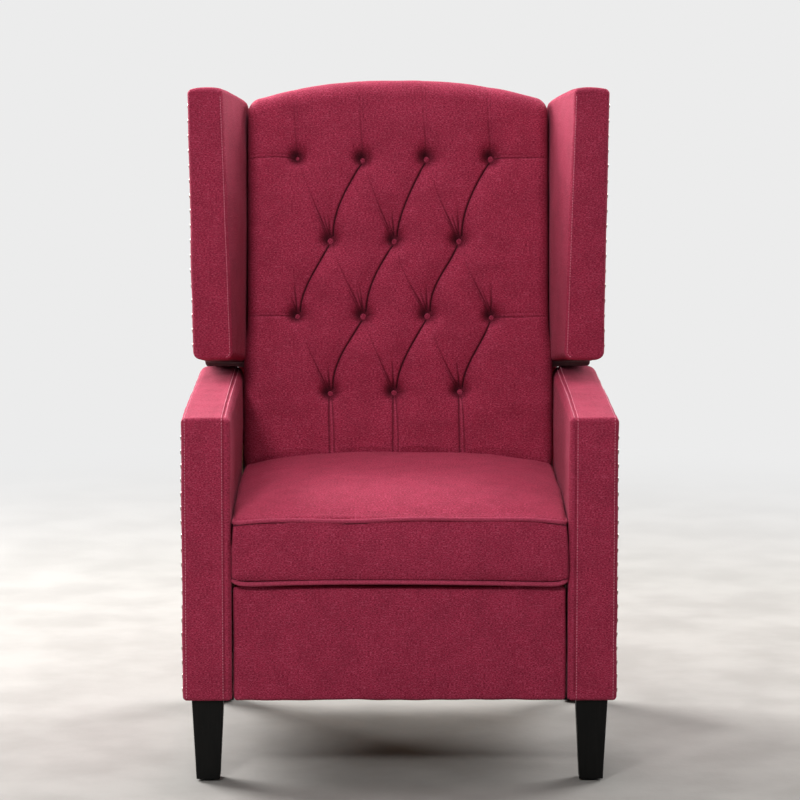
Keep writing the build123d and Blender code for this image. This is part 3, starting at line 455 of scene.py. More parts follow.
def rounded_box(size, radius, step, extra=((), (), ())):
    """Box with rounded edges, centred on the origin.

    Gives its points, their outward directions, their places between -1 and 1, and its quads."""
    axes = [side_places(length, radius, step, more) for length, more in zip(size, extra)]
    shape = tuple(len(axis) for axis in axes)
    grid = np.stack(np.meshgrid(*axes, indexing="ij"), axis=-1)
    ends = [
        (axis, end, tuple(end if a == axis else slice(None) for a in range(3)))
        for axis in range(3) for end in (0, -1)
    ]
    skin = np.zeros(shape, bool)
    for _, _, sheet in ends:
        skin[sheet] = True
    index = np.full(shape, -1)
    index[skin] = np.arange(skin.sum())
    core_half = np.array(size) / 2 - radius
    core = np.clip(grid[skin], -core_half, core_half)
    outward = grid[skin] - core
    outward /= np.linalg.norm(outward, axis=1)[:, None]
    faces = []
    for axis, end, sheet in ends:
        quads = quads_of(index[sheet])
        faces.append(quads[:, ::-1] if (end == 0) == (axis != 1) else quads)
    points = core + outward * radius
    return points, outward, points / np.array(size) * 2, np.concatenate(faces)


def quads_of(index):
    """Quads between the neighbours in a grid of point numbers."""
    corners = [index[:-1, :-1], index[1:, :-1], index[1:, 1:], index[:-1, 1:]]
    return np.stack(corners, axis=-1).reshape(-1, 4)


def on_side(side, points, faces):
    """Points and quads made for the right side, for that side or mirrored."""
    points[:, 0] *= side
    return points, faces if side > 0 else faces[:, ::-1]


def round_edges(points, size, radius, up):
    """Draws the edges along a box's top, or its bottom where up is -1, onto wider arcs."""
    far_x = np.abs(points[:, 0]) - (size[0] / 2 - radius)
    far_z = up * points[:, 2] - (size[2] / 2 - radius)
    reach = np.hypot(np.clip(far_x, 0, None), np.clip(far_z, 0, None))
    beyond = (far_x > 0) & (far_z > 0) & (reach > radius)
    draw_in = 1 - np.where(beyond, radius / np.maximum(reach, 1e-9), 1.0)
    points[:, 0] -= np.sign(points[:, 0]) * far_x * draw_in
    points[:, 2] -= up * far_z * draw_in


def tree_of(piece):
    mesh = piece.data
    return BVHTree.FromPolygons(
        [vertex.co.copy() for vertex in mesh.vertices],
        [tuple(polygon.vertices) for polygon in mesh.polygons],
    )


def drop_onto(tree, point, direction, reach=0.03):
    """Where a ray towards a surface meets it, and the surface's normal there."""
    direction = Vector(direction).normalized()
    hit, normal, _, _ = tree.ray_cast(Vector(point) - direction * reach, direction, 2 * reach)
    if hit is None:
        return None, None
    return hit, normal if normal.dot(direction) < 0 else -normal


def ring(centre, across, over, radius, sides):
    """Points around a circle."""
    turns = 2 * pi * np.arange(sides) / sides
    rim = np.outer(np.cos(turns), across) + np.outer(np.sin(turns), over)
    return list(np.array(centre) + radius * rim)


def ring_faces(base, rings, sides):
    """Quads between rings of points, with a cap at the first ring and one at the last."""
    faces = []
    for start in range(base, base + (rings - 1) * sides, sides):
        for k in range(sides):
            a, b = start + k, start + (k + 1) % sides
            faces.append((a, b, b + sides, a + sides))
    last = base + (rings - 1) * sides
    return [*faces, tuple(reversed(range(base, base + sides))), tuple(range(last, last + sides))]


def tube(path, radius, sides=10):
    """Closed tube along points."""
    path = np.asarray(path, float)
    tangents = np.gradient(path, axis=0)
    tangents /= np.linalg.norm(tangents, axis=1)[:, None]
    vertices = []
    for place, tangent in zip(path, tangents):
        side = np.cross(tangent, (0.0, 0.0, 1.0))
        side /= np.linalg.norm(side)
        vertices += ring(place, side, np.cross(side, tangent), radius, sides)
    *quads, start, end = ring_faces(0, len(path), sides)
    return vertices, [*((a, d, c, b) for a, b, c, d in quads), start[::-1], end[::-1]]


STITCH_PITCH = 4.6 * MM
STITCH_LENGTH = 3.3 * MM
STITCH_RADIUS = 0.55 * MM
STITCH_LIFT = 0.35  # of its radius
STITCH_SIDES = 6
STITCH_FORM = ((-0.5, 0.35), (-0.25, 1.0), (0.25, 1.0), (0.5, 0.35))  # shares of length and radius


def stitch_rows(name, tree, rows, body):
    """Topstitching: one short raised thread for each step of each row, laid on a surface."""
    vertices, faces = [], []
    for places, direction in rows:
        gone = 0.0
        for first, second in zip(map(Vector, places), map(Vector, places[1:])):
            run = (second - first).length
            while gone < run:
                hit, normal = drop_onto(tree, first.lerp(second, gone / run), direction)
                gone += STITCH_PITCH
                if hit is None:
                    continue
                along = (second - first).normalized()
                along = (along - normal * along.dot(normal)).normalized()
                faces += ring_faces(len(vertices), len(STITCH_FORM), STITCH_SIDES)
                for share, width in STITCH_FORM:
                    radius = STITCH_RADIUS * width
                    centre = hit + along * (share * STITCH_LENGTH) + normal * (STITCH_LIFT * radius)
                    vertices += ring(centre, normal.cross(along), normal, radius, STITCH_SIDES)
            gone -= run
    return make_piece(name, vertices, faces, body, "thread")


NAIL_RADIUS = 4.6 * MM
NAIL_HEIGHT = 1.7 * MM
NAIL_SIDES = 16
NAIL_FORM = ((1.0, -0.25), (1.0, 0.12), (0.93, 0.42), (0.74, 0.74), (0.42, 0.94))


def nail_heads(name, tree, places, direction, body):
    """Domed nail heads seated on a surface."""
    vertices, faces = [], []
    for place in places:
        hit, normal = drop_onto(tree, place, direction)
        if hit is None:
            continue
        across = normal.orthogonal().normalized()
        over = normal.cross(across)
        *rings, last = ring_faces(len(vertices), len(NAIL_FORM), NAIL_SIDES)
        for wide, high in NAIL_FORM:
            centre = hit + normal * (NAIL_HEIGHT * high)
            vertices += ring(centre, across, over, NAIL_RADIUS * wide, NAIL_SIDES)
        top = len(vertices)
        vertices.append(np.array(hit + normal * NAIL_HEIGHT))
        faces += rings + [(a, b, top) for a, b in zip(last, (*last[1:], last[0]))]
    return make_piece(name, vertices, faces, body, "nickel", "zinc_hardware")


def spread(low, high, pitch):
    """Even places between two ends, about a pitch apart."""
    return np.linspace(low, high, int((high - low) / pitch) + 1)


def seam(distance, depth=1.3 * MM, width=1.5 * MM):
    """Height of a sewn seam: a narrow groove between two slightly raised allowances."""
    groove = -depth * np.exp(-((distance / width) ** 2))
    return groove + 0.45 * depth * np.exp(-(((np.abs(distance) - 3.2 * width) / (2 * width)) ** 2))


def puff(first, second, power=4):
    """1 in the middle of a panel and 0 at its edges, from two places between -1 and 1."""
    return (1 - np.abs(first) ** power) * (1 - np.abs(second) ** power)


# ---------------------------------------------------------------- arms
ARM_WIDTH = arm_high.x - arm_low.x
ARM_LENGTH = arm_high.y - arm_low.y
ARM_BOTTOM, ARM_TOP = arm_low.z, arm_high.z
ARM_RADIUS = 7 * MM
ARM_TOP_RADIUS = (9 * MM, 19 * MM)  # at the front, at the rear
ARM_SEAM = 11 * MM  # from the inner side
ARM_STITCH = 2.9 * MM
ARM_NAILS = (16 * MM, 34 * MM, 15 * MM, 22 * MM)  # from the bottom, top and front; their pitch
PANEL_TOP = 388 * MM  # the bare inner panel ends under the seat
PANEL_FRONT = 110 * MM
PANEL_RECESS = 2 * MM


def make_arm(side, word):
    """Upholstered box arm: a boxed cover with a seam near its inner side."""
    height = ARM_TOP - ARM_BOTTOM
    size = (ARM_WIDTH, ARM_LENGTH, height)
    seam_x = -ARM_WIDTH / 2 + ARM_SEAM
    extra = [near_edges(length, ARM_RADIUS) for length in size]
    extra[0] += [seam_x + k * 1.2 * MM for k in range(-5, 6)]
    points, outward, share, faces = rounded_box(size, ARM_RADIUS, 7 * MM, extra)
    share_x, share_y, share_z = share.T
    round_edges(points, size, lerp(*ARM_TOP_RADIUS, smooth(share_y, -0.7, 0.9)), 1)
    nx, ny, nz = outward.T
    swell = 0.7 * MM * np.clip(nx, 0, 1) * puff(share_y, share_z)
    swell += 3.4 * MM * np.clip(nz, 0, 1) * puff(share_x, share_y, 3)
    swell += 1.6 * MM * np.clip(-ny, 0, 1) * puff(share_x, share_z)
    swell += 2.2 * MM * np.clip(-nx, 0, 1) * puff(share_y, share_z) * smooth(share_z, 0.35, 0.7)
    facing = np.clip(-ny, 0, 1) ** 2 + np.clip(nz, 0, 1) ** 2
    swell += seam(points[:, 0] - seam_x) * np.clip(facing, 0, 1)
    swell += uneven(points, (0.45, 0.11, 11 + side), (0.2, 0.035, 31 + side))
    swell *= smooth(points[:, 2], -height / 2, -height / 2 + 20 * MM) * 0.9 + 0.1
    points = points + outward * swell[:, None] + np.array((arm_low + arm_high) / 2)
    # The wooden panel shows on the inner side below the seat.
    low_inside = (points[:, 0] < arm_low.x + 1.5 * MM) & (points[:, 2] < PANEL_TOP)
    bare = low_inside & (points[:, 1] > FRONT_Y + PANEL_FRONT)
    points[low_inside, 0] = arm_low.x - 0.3 * MM
    points[bare, 0] = arm_low.x + PANEL_RECESS
    points, faces = on_side(side, points, faces)
    cover = make_pad(f"arm_cover_{word}", points, faces, "base", [f"arm_{word}"])

    tree = tree_of(cover)
    rows = []
    for offset in (ARM_SEAM - ARM_STITCH, ARM_SEAM + ARM_STITCH, ARM_WIDTH - 6 * MM):
        row_x = side * (arm_low.x + offset)
        top = [(row_x, FRONT_Y + 8 * MM, ARM_TOP), (row_x, arm_high.y - 14 * MM, ARM_TOP)]
        rows.append((top, (0, 0, -1)))
        if offset > ARM_SEAM:
            front = [(row_x, FRONT_Y, ARM_BOTTOM + 6 * MM), (row_x, FRONT_Y, ARM_TOP - 9 * MM)]
            rows.append((front, (0, 1, 0)))
            rows.append(([front[1], top[0]], (0, 0.7, -0.7)))
    stitch_rows(f"arm_stitching_{word}", tree, rows, "base")

    above, below, behind, pitch = ARM_NAILS
    heights = spread(ARM_BOTTOM + above, ARM_TOP - below, pitch)
    places = [(side * arm_high.x, FRONT_Y + behind, z) for z in heights]
    nail_heads(f"arm_nail_heads_{word}", tree, places, (-side, 0, 0), "base")


# ---------------------------------------------------------------- back, along its lean
def back_line_y(z):
    """Y of the front of the back frame at a height."""
    return BACK_Y + (z - BACK_PIVOT_Z) * tan(LEAN)


def on_back(x, level, ahead):
    """Points from their distance from the middle, level along the lean and distance ahead."""
    x, level, ahead = np.broadcast_arrays(x, level, ahead)
    y = BACK_Y + level * sin(LEAN) - ahead * cos(LEAN)
    z = BACK_PIVOT_Z + level * cos(LEAN) + ahead * sin(LEAN)
    return np.stack([x, y, z], axis=-1)


def top_level(x):
    return BACK_CORNER + BACK_ARCH * (1 - (x / BACK_HALF_WIDTH) ** 2)


def button_places():
    """Places of the buttons by row and column, each slightly off its regular place."""
    draw = np.random.default_rng(7)
    places = {}
    for row, columns in COLUMNS.items():
        for column in columns:
            slip = draw.uniform(-1, 1, 2) * TUFT_SLIP
            places[(row, column)] = slip + (column * TUFT_STEP + TUFT_SHIFT, TUFT_ROWS[row])
    return places


def curve(first, leave, arrive, last, count=18):
    """Places along a smooth line between two ends, by the two places that it heads for."""
    t = np.linspace(0, 1, count)[:, None]
    first, leave, arrive, last = (np.array(p, float) for p in (first, leave, arrive, last))
    return (
        (1 - t) ** 3 * first + 3 * (1 - t) ** 2 * t * leave
        + 3 * (1 - t) * t * t * arrive + t**3 * last
    )


def off(place, across, up):
    """A place moved by millimetres across and up."""
    return np.array(place) + np.array((across, up)) * MM


def button_folds(buttons):
    """Folds between, above, below and beside the buttons.

    Each has its line, depths along it, widths of its left and right flanks, the share of a wide
    valley, and the strength of a painted highlight along its left edge."""
    folds = []
    draw = np.random.default_rng(21)

    def bend(size):
        return draw.uniform(-size, size)

    def add(line, depths, left, right, valley=0.0, wear_and_highlight=0.0):
        folds.append((line, np.array(depths) * MM, left * MM, right * MM, valley, wear_and_highlight))

    for (row, column), place in buttons.items():
        # A crisp fold falls to the left: it leaves the button slanting and arrives steeply.
        lower = buttons.get((row + 1, column - 1))
        if lower is not None:
            line = curve(
                off(place, -2.8, -8), off(place, -19 + bend(4), -42 + bend(6)),
                off(lower, 7 + bend(3), 54 + bend(8)), off(lower, 5, 9),
            )
            add(line, (6.5, 6.0, 5.2, 5.6, 6.5), 1.2, 3.4, 0.9)
        # A soft fold falls to the right, nearly straight, and doubles as it nears the lower button.
        lower = buttons.get((row + 1, column + 1))
        if lower is not None:
            swing = bend(5)
            line = curve(
                off(place, 4, -16), off(place, 12 + swing, -48),
                off(lower, -21 + 0.5 * swing, 44 + bend(6)), off(lower, -3.5, 9),
            )
            add(line, (0.7, 1.6, 2.2, 4.4, 6.2), 2.4, 1.2, 0.75, 0.8)
            beside = line[6:] + np.linspace((-6.5, 1), (-3, 0), len(line) - 6) * MM
            add(beside, (0.4, 1.6, 3.6), 1.8, 1.1)
        if row > 0:
            # Short folds fan out above the button, and level creases run to both sides.
            for lean, reach in ((-4 + bend(3), 62 + bend(14)), (-15 + bend(4), 44 + bend(9))):
                line = curve(
                    off(place, lean, reach), off(place, 0.75 * lean, 0.62 * reach),
                    off(place, 0.25 * lean, 0.35 * reach), off(place, -1, 10),
                )
                add(line, (0.2, 2.4, 4.2, 4.8), 1.7, 1.1, 0.15, 0.3)
            for sign, reach in ((-1, 20 + bend(5)), (1, 26 + bend(10))):
                line = curve(
                    off(place, 6 * sign, 1), off(place, 0.4 * reach * sign, 2 + bend(1)),
                    off(place, 0.7 * reach * sign, 2 + bend(2)), off(place, reach * sign, 1 + bend(3)),
                )
                add(line, (3.6, 1.8, 0.3), 1.6, 1.3)
        if row == 0:
            # A pleat runs up over the top.
            top = (place[0] - (5 + bend(5)) * MM, top_level(place[0]) + 30 * MM)
            line = curve(
                off(place, -1, 8), off(place, -1 + bend(2), 40), off(place, -8 + bend(4), 75), top
            )
            add(line, (4.8, 2.6, 2.0, 1.8, 1.6), 1.2, 2.2, 0.55, 1.0)
            beside = line + np.linspace((3, 0), (6.5, 0), len(line)) * MM
            add(beside, (0.6, 1.2, 1.4, 1.2), 2.0, 1.2)
        if row == len(COLUMNS) - 1:
            # A double pleat runs down behind the seat.
            for across, gap, depth in ((-1.5, 0, 4.2), (3, 6, 3.0)):
                foot = (place[0] + (across + gap + bend(3)) * MM, BACK_BOTTOM)
                line = curve(
                    off(place, across, -8), off(place, across + 0.5 * gap, -40),
                    off(place, across + gap, -75), foot,
                )
                add(line, np.array((1.3, 1.0, 0.9, 0.8)) * depth, 1.3, 2.0, 0.5, 0.5)
        if abs(column) == 3:
            # Level folds run to the cushion's side.
            sign = np.sign(column)
            for rise, share, valley in ((0, 1, 0.45), (5, 0.5, 0.0)):
                line = curve(
                    off(place, 7 * sign, rise), off(place, 35 * sign, rise + bend(2)),
                    off(place, 60 * sign, rise + bend(3)),
                    (sign * (BACK_HALF_WIDTH + 10 * MM), place[1] + (rise + bend(3)) * MM),
                )
                add(line, np.array((3.6, 2.0, 1.8, 1.4)) * share, 1.6, 1.3, valley)
    return folds


BACK_EDGE = 20 * MM  # radius of the cushion's sides
SIDE_FULL = 6.6 * MM  # fullness of the cushion's sides between the arms
SIDE_FULL_BAND = ((0.40, 0.46), (0.62, 0.68))  # heights where that fullness grows and ends
VALLEY_DEPTH, VALLEY_WIDTH = 5.5 * MM, 17 * MM
PIT_DEPTH, PIT_WIDTH = 21 * MM, 13 * MM
DISH_DEPTH, DISH_WIDTH = 11 * MM, 26 * MM
PIT_SHADE = 0.78
CREASE_TIP = 0.7 * MM
FOLD_SHADE_WIDTH = 1.3 * MM  # width of the painted shade inside a fold, and of the painted highlight beside it
FOLD_FULL = 5.0 * MM  # depth from which a fold's painted shade is full
HIGHLIGHT_GAP = 2.8 * MM  # from a fold to its painted highlight


def bell(distance, width):
    return np.exp(-((distance / width) ** 2))


def lay_fold(x, level, crease, valley, shade, fold):
    """Presses one fold into the cushion, with a wide shallow valley along it."""
    path, depths, left, right, wide, wear_and_highlight = fold
    reach = 2.6 * VALLEY_WIDTH if wide else 12 * MM
    low, high = path.min(0) - reach, path.max(0) + reach
    near = (x > low[0]) & (x < high[0]) & (level > low[1]) & (level < high[1])
    px, pl = x[near], level[near]
    best = np.full(px.shape, 1.0)
    flank, share = np.zeros_like(px), np.zeros_like(px)
    for k, (start, run) in enumerate(zip(path, np.diff(path, axis=0))):
        t = np.clip(((px - start[0]) * run[0] + (pl - start[1]) * run[1]) / (run @ run), 0, 1)
        dx, dl = px - start[0] - t * run[0], pl - start[1] - t * run[1]
        away = np.hypot(dx, dl)
        closer = away < best
        best = np.where(closer, away, best)
        flank = np.where(closer, dx, flank)
        share = np.where(closer, (k + t) / (len(path) - 1), share)
    depth = np.interp(share, np.linspace(0, 1, len(depths)), depths)
    width = np.where(flank < 0, left, right)
    tip = np.sqrt(best**2 + CREASE_TIP**2) - CREASE_TIP
    crease[near] = np.maximum(crease[near], depth * np.exp(-tip / width))
    # Painted shade inside the fold, and a painted highlight along its left edge.
    edge = wear_and_highlight * bell(np.sign(flank) * best + HIGHLIGHT_GAP, FOLD_SHADE_WIDTH)
    fold_shade = np.clip(depth / FOLD_FULL, 0, 1) * (1 - 0.6 * wear_and_highlight) * bell(best, FOLD_SHADE_WIDTH)
    old = shade[near]
    paler = np.where(old > 0.05, old, np.minimum(old, -edge))
    shade[near] = np.where(fold_shade > 0.15, np.maximum(old, fold_shade), paler)
    if wide:
        fade = np.clip(depth / (6 * MM), 0.25, 1)
        valley[near] = np.maximum(valley[near], wide * fade * bell(best, VALLEY_WIDTH))


def tufting(buttons, x, level):
    """How far the tufted surface lies behind the crown of the pillows, and its painted shade and
    highlights.
    """
    crease, valley, shade, pit, dish = (np.zeros_like(x) for _ in range(5))
    for fold in button_folds(buttons):
        lay_fold(x, level, crease, valley, shade, fold)
    for place in buttons.values():
        dx, dl = x - place[0], level - place[1]
        far = np.hypot(dx, dl * np.where(dl > 0, 0.86, 1.1))
        pit = np.maximum(pit, bell(far, PIT_WIDTH))
        dish = np.maximum(dish, np.exp(-far / DISH_WIDTH))
        # The shade lies towards the upper left of the button.
        above = np.hypot(dx + 3 * MM, dl - 4 * MM)
        shade = np.maximum(shade, PIT_SHADE * bell(above, PIT_WIDTH))
    sag = 5 * MM * (np.abs(x) / BACK_HALF_WIDTH) ** 4
    crease *= 1 - 0.6 * pit
    return VALLEY_DEPTH * valley + PIT_DEPTH * pit + DISH_DEPTH * dish + crease + sag, shade


def make_back(buttons):
    """Tufted front of the back, rolled over the top rail, as one closed cushion."""
    half = BACK_HALF_WIDTH - 1.2 * MM
    step, turns = ((1.3 * MM, 34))
    columns = np.linspace(-half, half, int(2 * half / step) + 1)
    rise = np.linspace(0, 1, int((BACK_CORNER - BACK_BOTTOM) / step))[:, None]
    turn = np.linspace(0, pi / 2, turns)[1:, None]
    cap = np.linspace(0, 1, turns)[1:, None]
    top, rolled = top_level(columns), BACK_THICKNESS - BACK_ROLL
    level = np.concatenate([
        lerp(BACK_BOTTOM, top - BACK_ROLL, rise),
        top - BACK_ROLL + BACK_ROLL * np.sin(turn),
        top + 0 * cap,
    ])
    ahead = np.concatenate([
        BACK_THICKNESS + 0 * rise, rolled + BACK_ROLL * np.cos(turn), lerp(rolled, -FRAME_DEPTH, cap)
    ])
    out_up = np.concatenate([0 * rise, np.sin(turn), 1 + 0 * cap])
    out_ahead = np.concatenate([1 + 0 * rise, np.cos(turn), 0 * cap])
    x, ahead = columns + 0 * level, ahead + 0 * level
    pattern_level = level + (BACK_THICKNESS - ahead) * out_up
    drop, shade = tufting(buttons, x, pattern_level)
    drop *= 1 - 0.8 * smooth(pattern_level - top, -1.2 * BACK_ROLL, 0.3 * BACK_ROLL)
    edge = np.clip(np.abs(x) - (half - BACK_EDGE), 0, BACK_EDGE)
    drop += BACK_EDGE - np.sqrt(np.clip(BACK_EDGE**2 - edge**2, 0, None))
    flat = np.stack([x.ravel(), level.ravel(), ahead.ravel()], axis=1)
    drop += uneven(flat, (0.8, 0.1, 5), (0.3, 0.03, 6)).reshape(drop.shape)
    points = on_back(x, level - drop * out_up, ahead - drop * out_ahead)
    # The seat presses the lower front flat.
    pressed = FRONT_Y + SEAT_DEPTH + 3 * MM
    free = np.clip(points[..., 2] - SEAT_CROWN_Z, 0, 1)
    points[..., 1] = np.maximum(points[..., 1], pressed - 0.3 * free)
    grows, ends = SIDE_FULL_BAND
    between_arms = smooth(points[..., 2], *grows) * (1 - smooth(points[..., 2], *ends))
    points[..., 0] += np.sign(x) * SIDE_FULL * between_arms * smooth(np.abs(x), 0.2, half)
    count, wide = level.shape
    vertices = points.reshape(-1, 3)
    index = np.arange(count * wide).reshape(count, wide)
    # Rear of the cushion against the webbing, the rail and its top
    rail_top = top - 12 * MM
    behind = [
        on_back(columns, BACK_BOTTOM, 2.4 * MM),
        on_back(columns, rail_top, 2.4 * MM),
        on_back(columns, rail_top, -FRAME_DEPTH),
    ]
    rear = len(vertices) + np.arange(3 * wide).reshape(3, wide)
    faces = quads_of(index)[:, (0, 3, 2, 1)].tolist()
    for first, second in zip((index[0], *rear), (*rear, index[-1])):
        faces += quads_of(np.stack([first, second])).tolist()
    for column in (0, -1):
        side = (*index[:, column], *rear[::-1, column])
        faces.append(side[::-1] if column == 0 else side)
    nodes = ["back_cushion", "back_top_pad"]
    cover = make_pad("back_cover", np.concatenate([vertices, *behind]), faces, "back", nodes)
    keep_painted_shade(cover, np.concatenate([shade.ravel(), np.zeros(3 * wide)]))


BUTTON_RADIUS = 9.2 * MM
BUTTON_BASE = 40 * MM
BUTTON_RISE = 8.5 * MM
BUTTON_TIP = 0.4 * MM
BUTTON_SIDES, BUTTON_RINGS = 28, 7


def make_buttons(buttons):
    """Cloth-covered domed buttons, pulled down into the tufts."""
    vertices, faces = [], []
    turns = 2 * pi * np.arange(BUTTON_SIDES) / BUTTON_SIDES
    for bx, level in buttons.values():
        faces += ring_faces(len(vertices), BUTTON_RINGS, BUTTON_SIDES)
        for step in range(BUTTON_RINGS):
            angle = pi / 2 * step / (BUTTON_RINGS - 1)
            is_last = step == BUTTON_RINGS - 1
            radius = BUTTON_TIP if is_last else BUTTON_RADIUS * cos(angle) ** 0.8
            rim = radius * (1 + 0.025 * np.cos(turns * 9) * (1 - step / BUTTON_RINGS))
            ahead = BUTTON_BASE + BUTTON_RISE * sin(angle)
            vertices += list(on_back(bx + rim * np.cos(turns), level + rim * np.sin(turns), ahead))
    piece = make_piece("covered_buttons", vertices, faces, "back")
    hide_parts("back_buttons")


# ---------------------------------------------------------------- wings
def wing_side(b, c):
    """Depth and height of a wing's side: b runs from its front to its rear, c from bottom to top."""
    front_y = FRONT_Y + lerp(*WING_FRONT, c)
    low_z = lerp(WING_FRONT_Z[0], WING_REAR_Z[0], b) - WING_LIP * smooth(b, 0.88, 0.95)
    top_z = lerp(WING_FRONT_Z[1], WING_REAR_Z[1], b) + 4 * WING_TOP_BULGE * b * (1 - b)
    rear_y = [back_line_y(z) + FRAME_DEPTH / cos(LEAN) for z in WING_REAR_Z]
    return lerp(front_y, lerp(*rear_y, c), b), lerp(low_z, top_z, c)


WING_DEPTH = 0.28  # of the box from which a wing is bent
WING_RADIUS = 7 * MM
WING_FOOT_RADIUS = 14 * MM
WING_SEAM = 4 * MM
WING_CROWN = 3.5 * MM
WING_NAILS = (22 * MM, 30 * MM, 16 * MM, 24 * MM)  # from the bottom, top and front; their pitch


def make_wing(side, word):
    """Padded wing: thick rounded front, swelling inner side, flat outer side."""
    height = WING_FRONT_Z[1] - WING_FRONT_Z[0]
    size = (lerp(*WING_THICKNESS, 0.5), WING_DEPTH, height)
    extra = [near_edges(length, WING_RADIUS, count) for length, count in zip(size, (6, 6, 7))]
    points, outward, share, faces = rounded_box(size, WING_RADIUS, 5.5 * MM, extra)
    share_x, share_y, share_z = share.T
    # The lower corners are rounder, more so towards the front.
    round_edges(points, size, lerp(WING_FOOT_RADIUS, WING_RADIUS, smooth(share_y, -0.9, 0.6)), -1)
    a, b, c = (points / np.array(size) + 0.5).T
    y, z = wing_side(b, c)
    front, _ = wing_side(0.0, c)
    root = back_line_y(z) - WING_ROOT_DEPTH
    outer_front = lerp(*WING_OUTER, c)
    run = np.clip((y - front) / (root - front), 0, 1)
    inner = lerp(outer_front - lerp(*WING_THICKNESS, c), WING_ROOT_X, run)
    x = lerp(inner, lerp(outer_front, WING_REAR_OUTER, b), a)
    nx, ny, nz = outward.T
    swell = 6.0 * MM * np.clip(-nx, 0, 1) * puff(2 * run - 1, share_z, 2)
    swell += 1.2 * MM * np.clip(nx, 0, 1) * puff(share_y, share_z)
    swell += 2.2 * MM * np.clip(-ny, 0, 1) * puff(share_x, share_z, 3)
    swell += WING_CROWN * np.clip(nz, 0, 1) * (1 - np.abs(share_x) ** 2.4)
    swell -= 2.0 * MM * np.clip(nz, 0, 1) * (0.5 + 0.5 * share_x) ** 2
    swell += uneven(points, (0.5, 0.12, 51 + side), (0.2, 0.04, 61 + side))
    swell *= 1 - smooth(run, 0.9, 1.0) * np.clip(-nx, 0, 1)
    points, faces = on_side(side, np.stack([x, y, z], axis=1) + outward * swell[:, None], faces)
    cover = make_pad(f"wing_cover_{word}", points, faces, "back", [f"wing_{word}"])
    # Painted shade on the underside, which lies in the recess over the arm.
    low_z = lerp(WING_FRONT_Z[0], WING_REAR_Z[0], b)
    under = 1 - smooth(z, low_z - 1 * MM, low_z + 4 * MM)
    keep_painted_shade(cover, 0.9 * under * smooth(b, 0.1, 0.3))

    tree = tree_of(cover)
    line = []
    turned = WING_FOOT_RADIUS - WING_SEAM
    for angle in np.linspace(0.15 * pi, pi / 2, 5):
        edge_x = WING_OUTER[0] - WING_THICKNESS[0] + WING_FOOT_RADIUS - turned * sin(angle)
        edge_z = WING_FRONT_Z[0] + WING_FOOT_RADIUS - turned * cos(angle)
        line.append((side * edge_x, FRONT_Y + WING_FRONT[0], edge_z))
    for up in np.linspace(0.05, 0.975, 14):
        edge_x = lerp(*WING_OUTER, up) - lerp(*WING_THICKNESS, up) + WING_SEAM
        line.append((side * edge_x, *wing_side(0.0, up)))
    stitch_rows(f"wing_stitching_{word}", tree, [(line, (0.25 * side, 1, 0))], "back")

    above, below, behind, pitch = WING_NAILS
    places = []
    for z in spread(WING_FRONT_Z[0] + above, WING_FRONT_Z[1] - below, pitch):
        up = (z - WING_FRONT_Z[0]) / height
        places.append((side * lerp(*WING_OUTER, up), wing_side(0.0, up)[0] + behind, z))
    nail_heads(f"wing_nail_heads_{word}", tree, places, (-side, 0, 0), "back")


# ---------------------------------------------------------------- seat
def seat_height(x, setback):
    """Top of the crowned seat."""
    across = np.abs(x) / SEAT_HALF_WIDTH
    along = 1 - np.exp(-setback / (58 * MM))
    rear = 1 - 0.18 * smooth(setback, 0.36, SEAT_DEPTH)
    crown = (1 - across**3.0) * along * rear
    return SEAT_SIDE_Z + (SEAT_CROWN_Z - SEAT_SIDE_Z) * crown + 7 * MM * along * across**3


def make_seat_top():
    """Crowned seat: its front edge swells over the seam, its sides pull in."""
    size = (2 * SEAT_HALF_WIDTH, SEAT_DEPTH, SEAT_SIDE_Z - SEAT_BOTTOM_Z)
    points, outward, share, faces = rounded_box(size, 9 * MM, 6.5 * MM)
    share_x, share_y, share_z = share.T
    x, nx, ny, nz = points[:, 0], *outward.T
    setback = points[:, 1] + SEAT_DEPTH / 2
    lift = (seat_height(x, setback) - SEAT_SIDE_Z) * np.clip((share_z + 1) / 2, 0, 1)
    swell = uneven(points, (0.8, 0.14, 71), (0.3, 0.045, 72))
    swell += 1.5 * MM * np.abs(nx) * (1 - 2 * share_y**2)
    swell += 4.0 * MM * np.clip(-ny, 0, 1) * (1 - share_x**6)
    puckers = 0.9 * MM * np.sin(x * 2 * pi / (31 * MM) + 1.7 * np.sin(x * 40))
    puckers *= np.exp(-setback / (18 * MM)) * smooth(np.abs(share_x), 0.35, 0.95)
    swell += puckers * np.clip(nz, 0, 1)
    points = points + outward * swell[:, None]
    points[:, 1] += FRONT_Y + SEAT_DEPTH / 2
    points[:, 2] += lift + (SEAT_SIDE_Z + SEAT_BOTTOM_Z) / 2
    points[:, 2] = np.maximum(points[:, 2], SEAT_BOTTOM_Z)
    make_pad("seat_cover", points, faces, "seat", ["seat_cushion"])


UPPER_WELT, LOWER_WELT = 3.5 * MM, 3.6 * MM  # radii
UPPER_WELT_Z, LOWER_WELT_Z = SEAT_WELT_Z + 2 * MM, SEAT_BAND_LOW_Z + 2 * MM
WELT_LINE = 1.7 * MM
WELT_CORNER = 15 * MM


def upper_wave(x):
    """Unevenness of the upper seam along its length, lower at its ends."""
    across = np.abs(x) / SEAT_HALF_WIDTH
    return 1.6 * MM * np.sin(x * 13) + 1.0 * MM * np.sin(x * 31 + 1) - 6 * MM * across**6


def lower_wave(x):
    """Unevenness of the lower seam along its length, turned up at its ends."""
    across = np.abs(x) / SEAT_HALF_WIDTH
    return 1.2 * MM * np.sin(x * 11 + 2) - 3.0 * MM * across**5 + 7.0 * MM * across**24


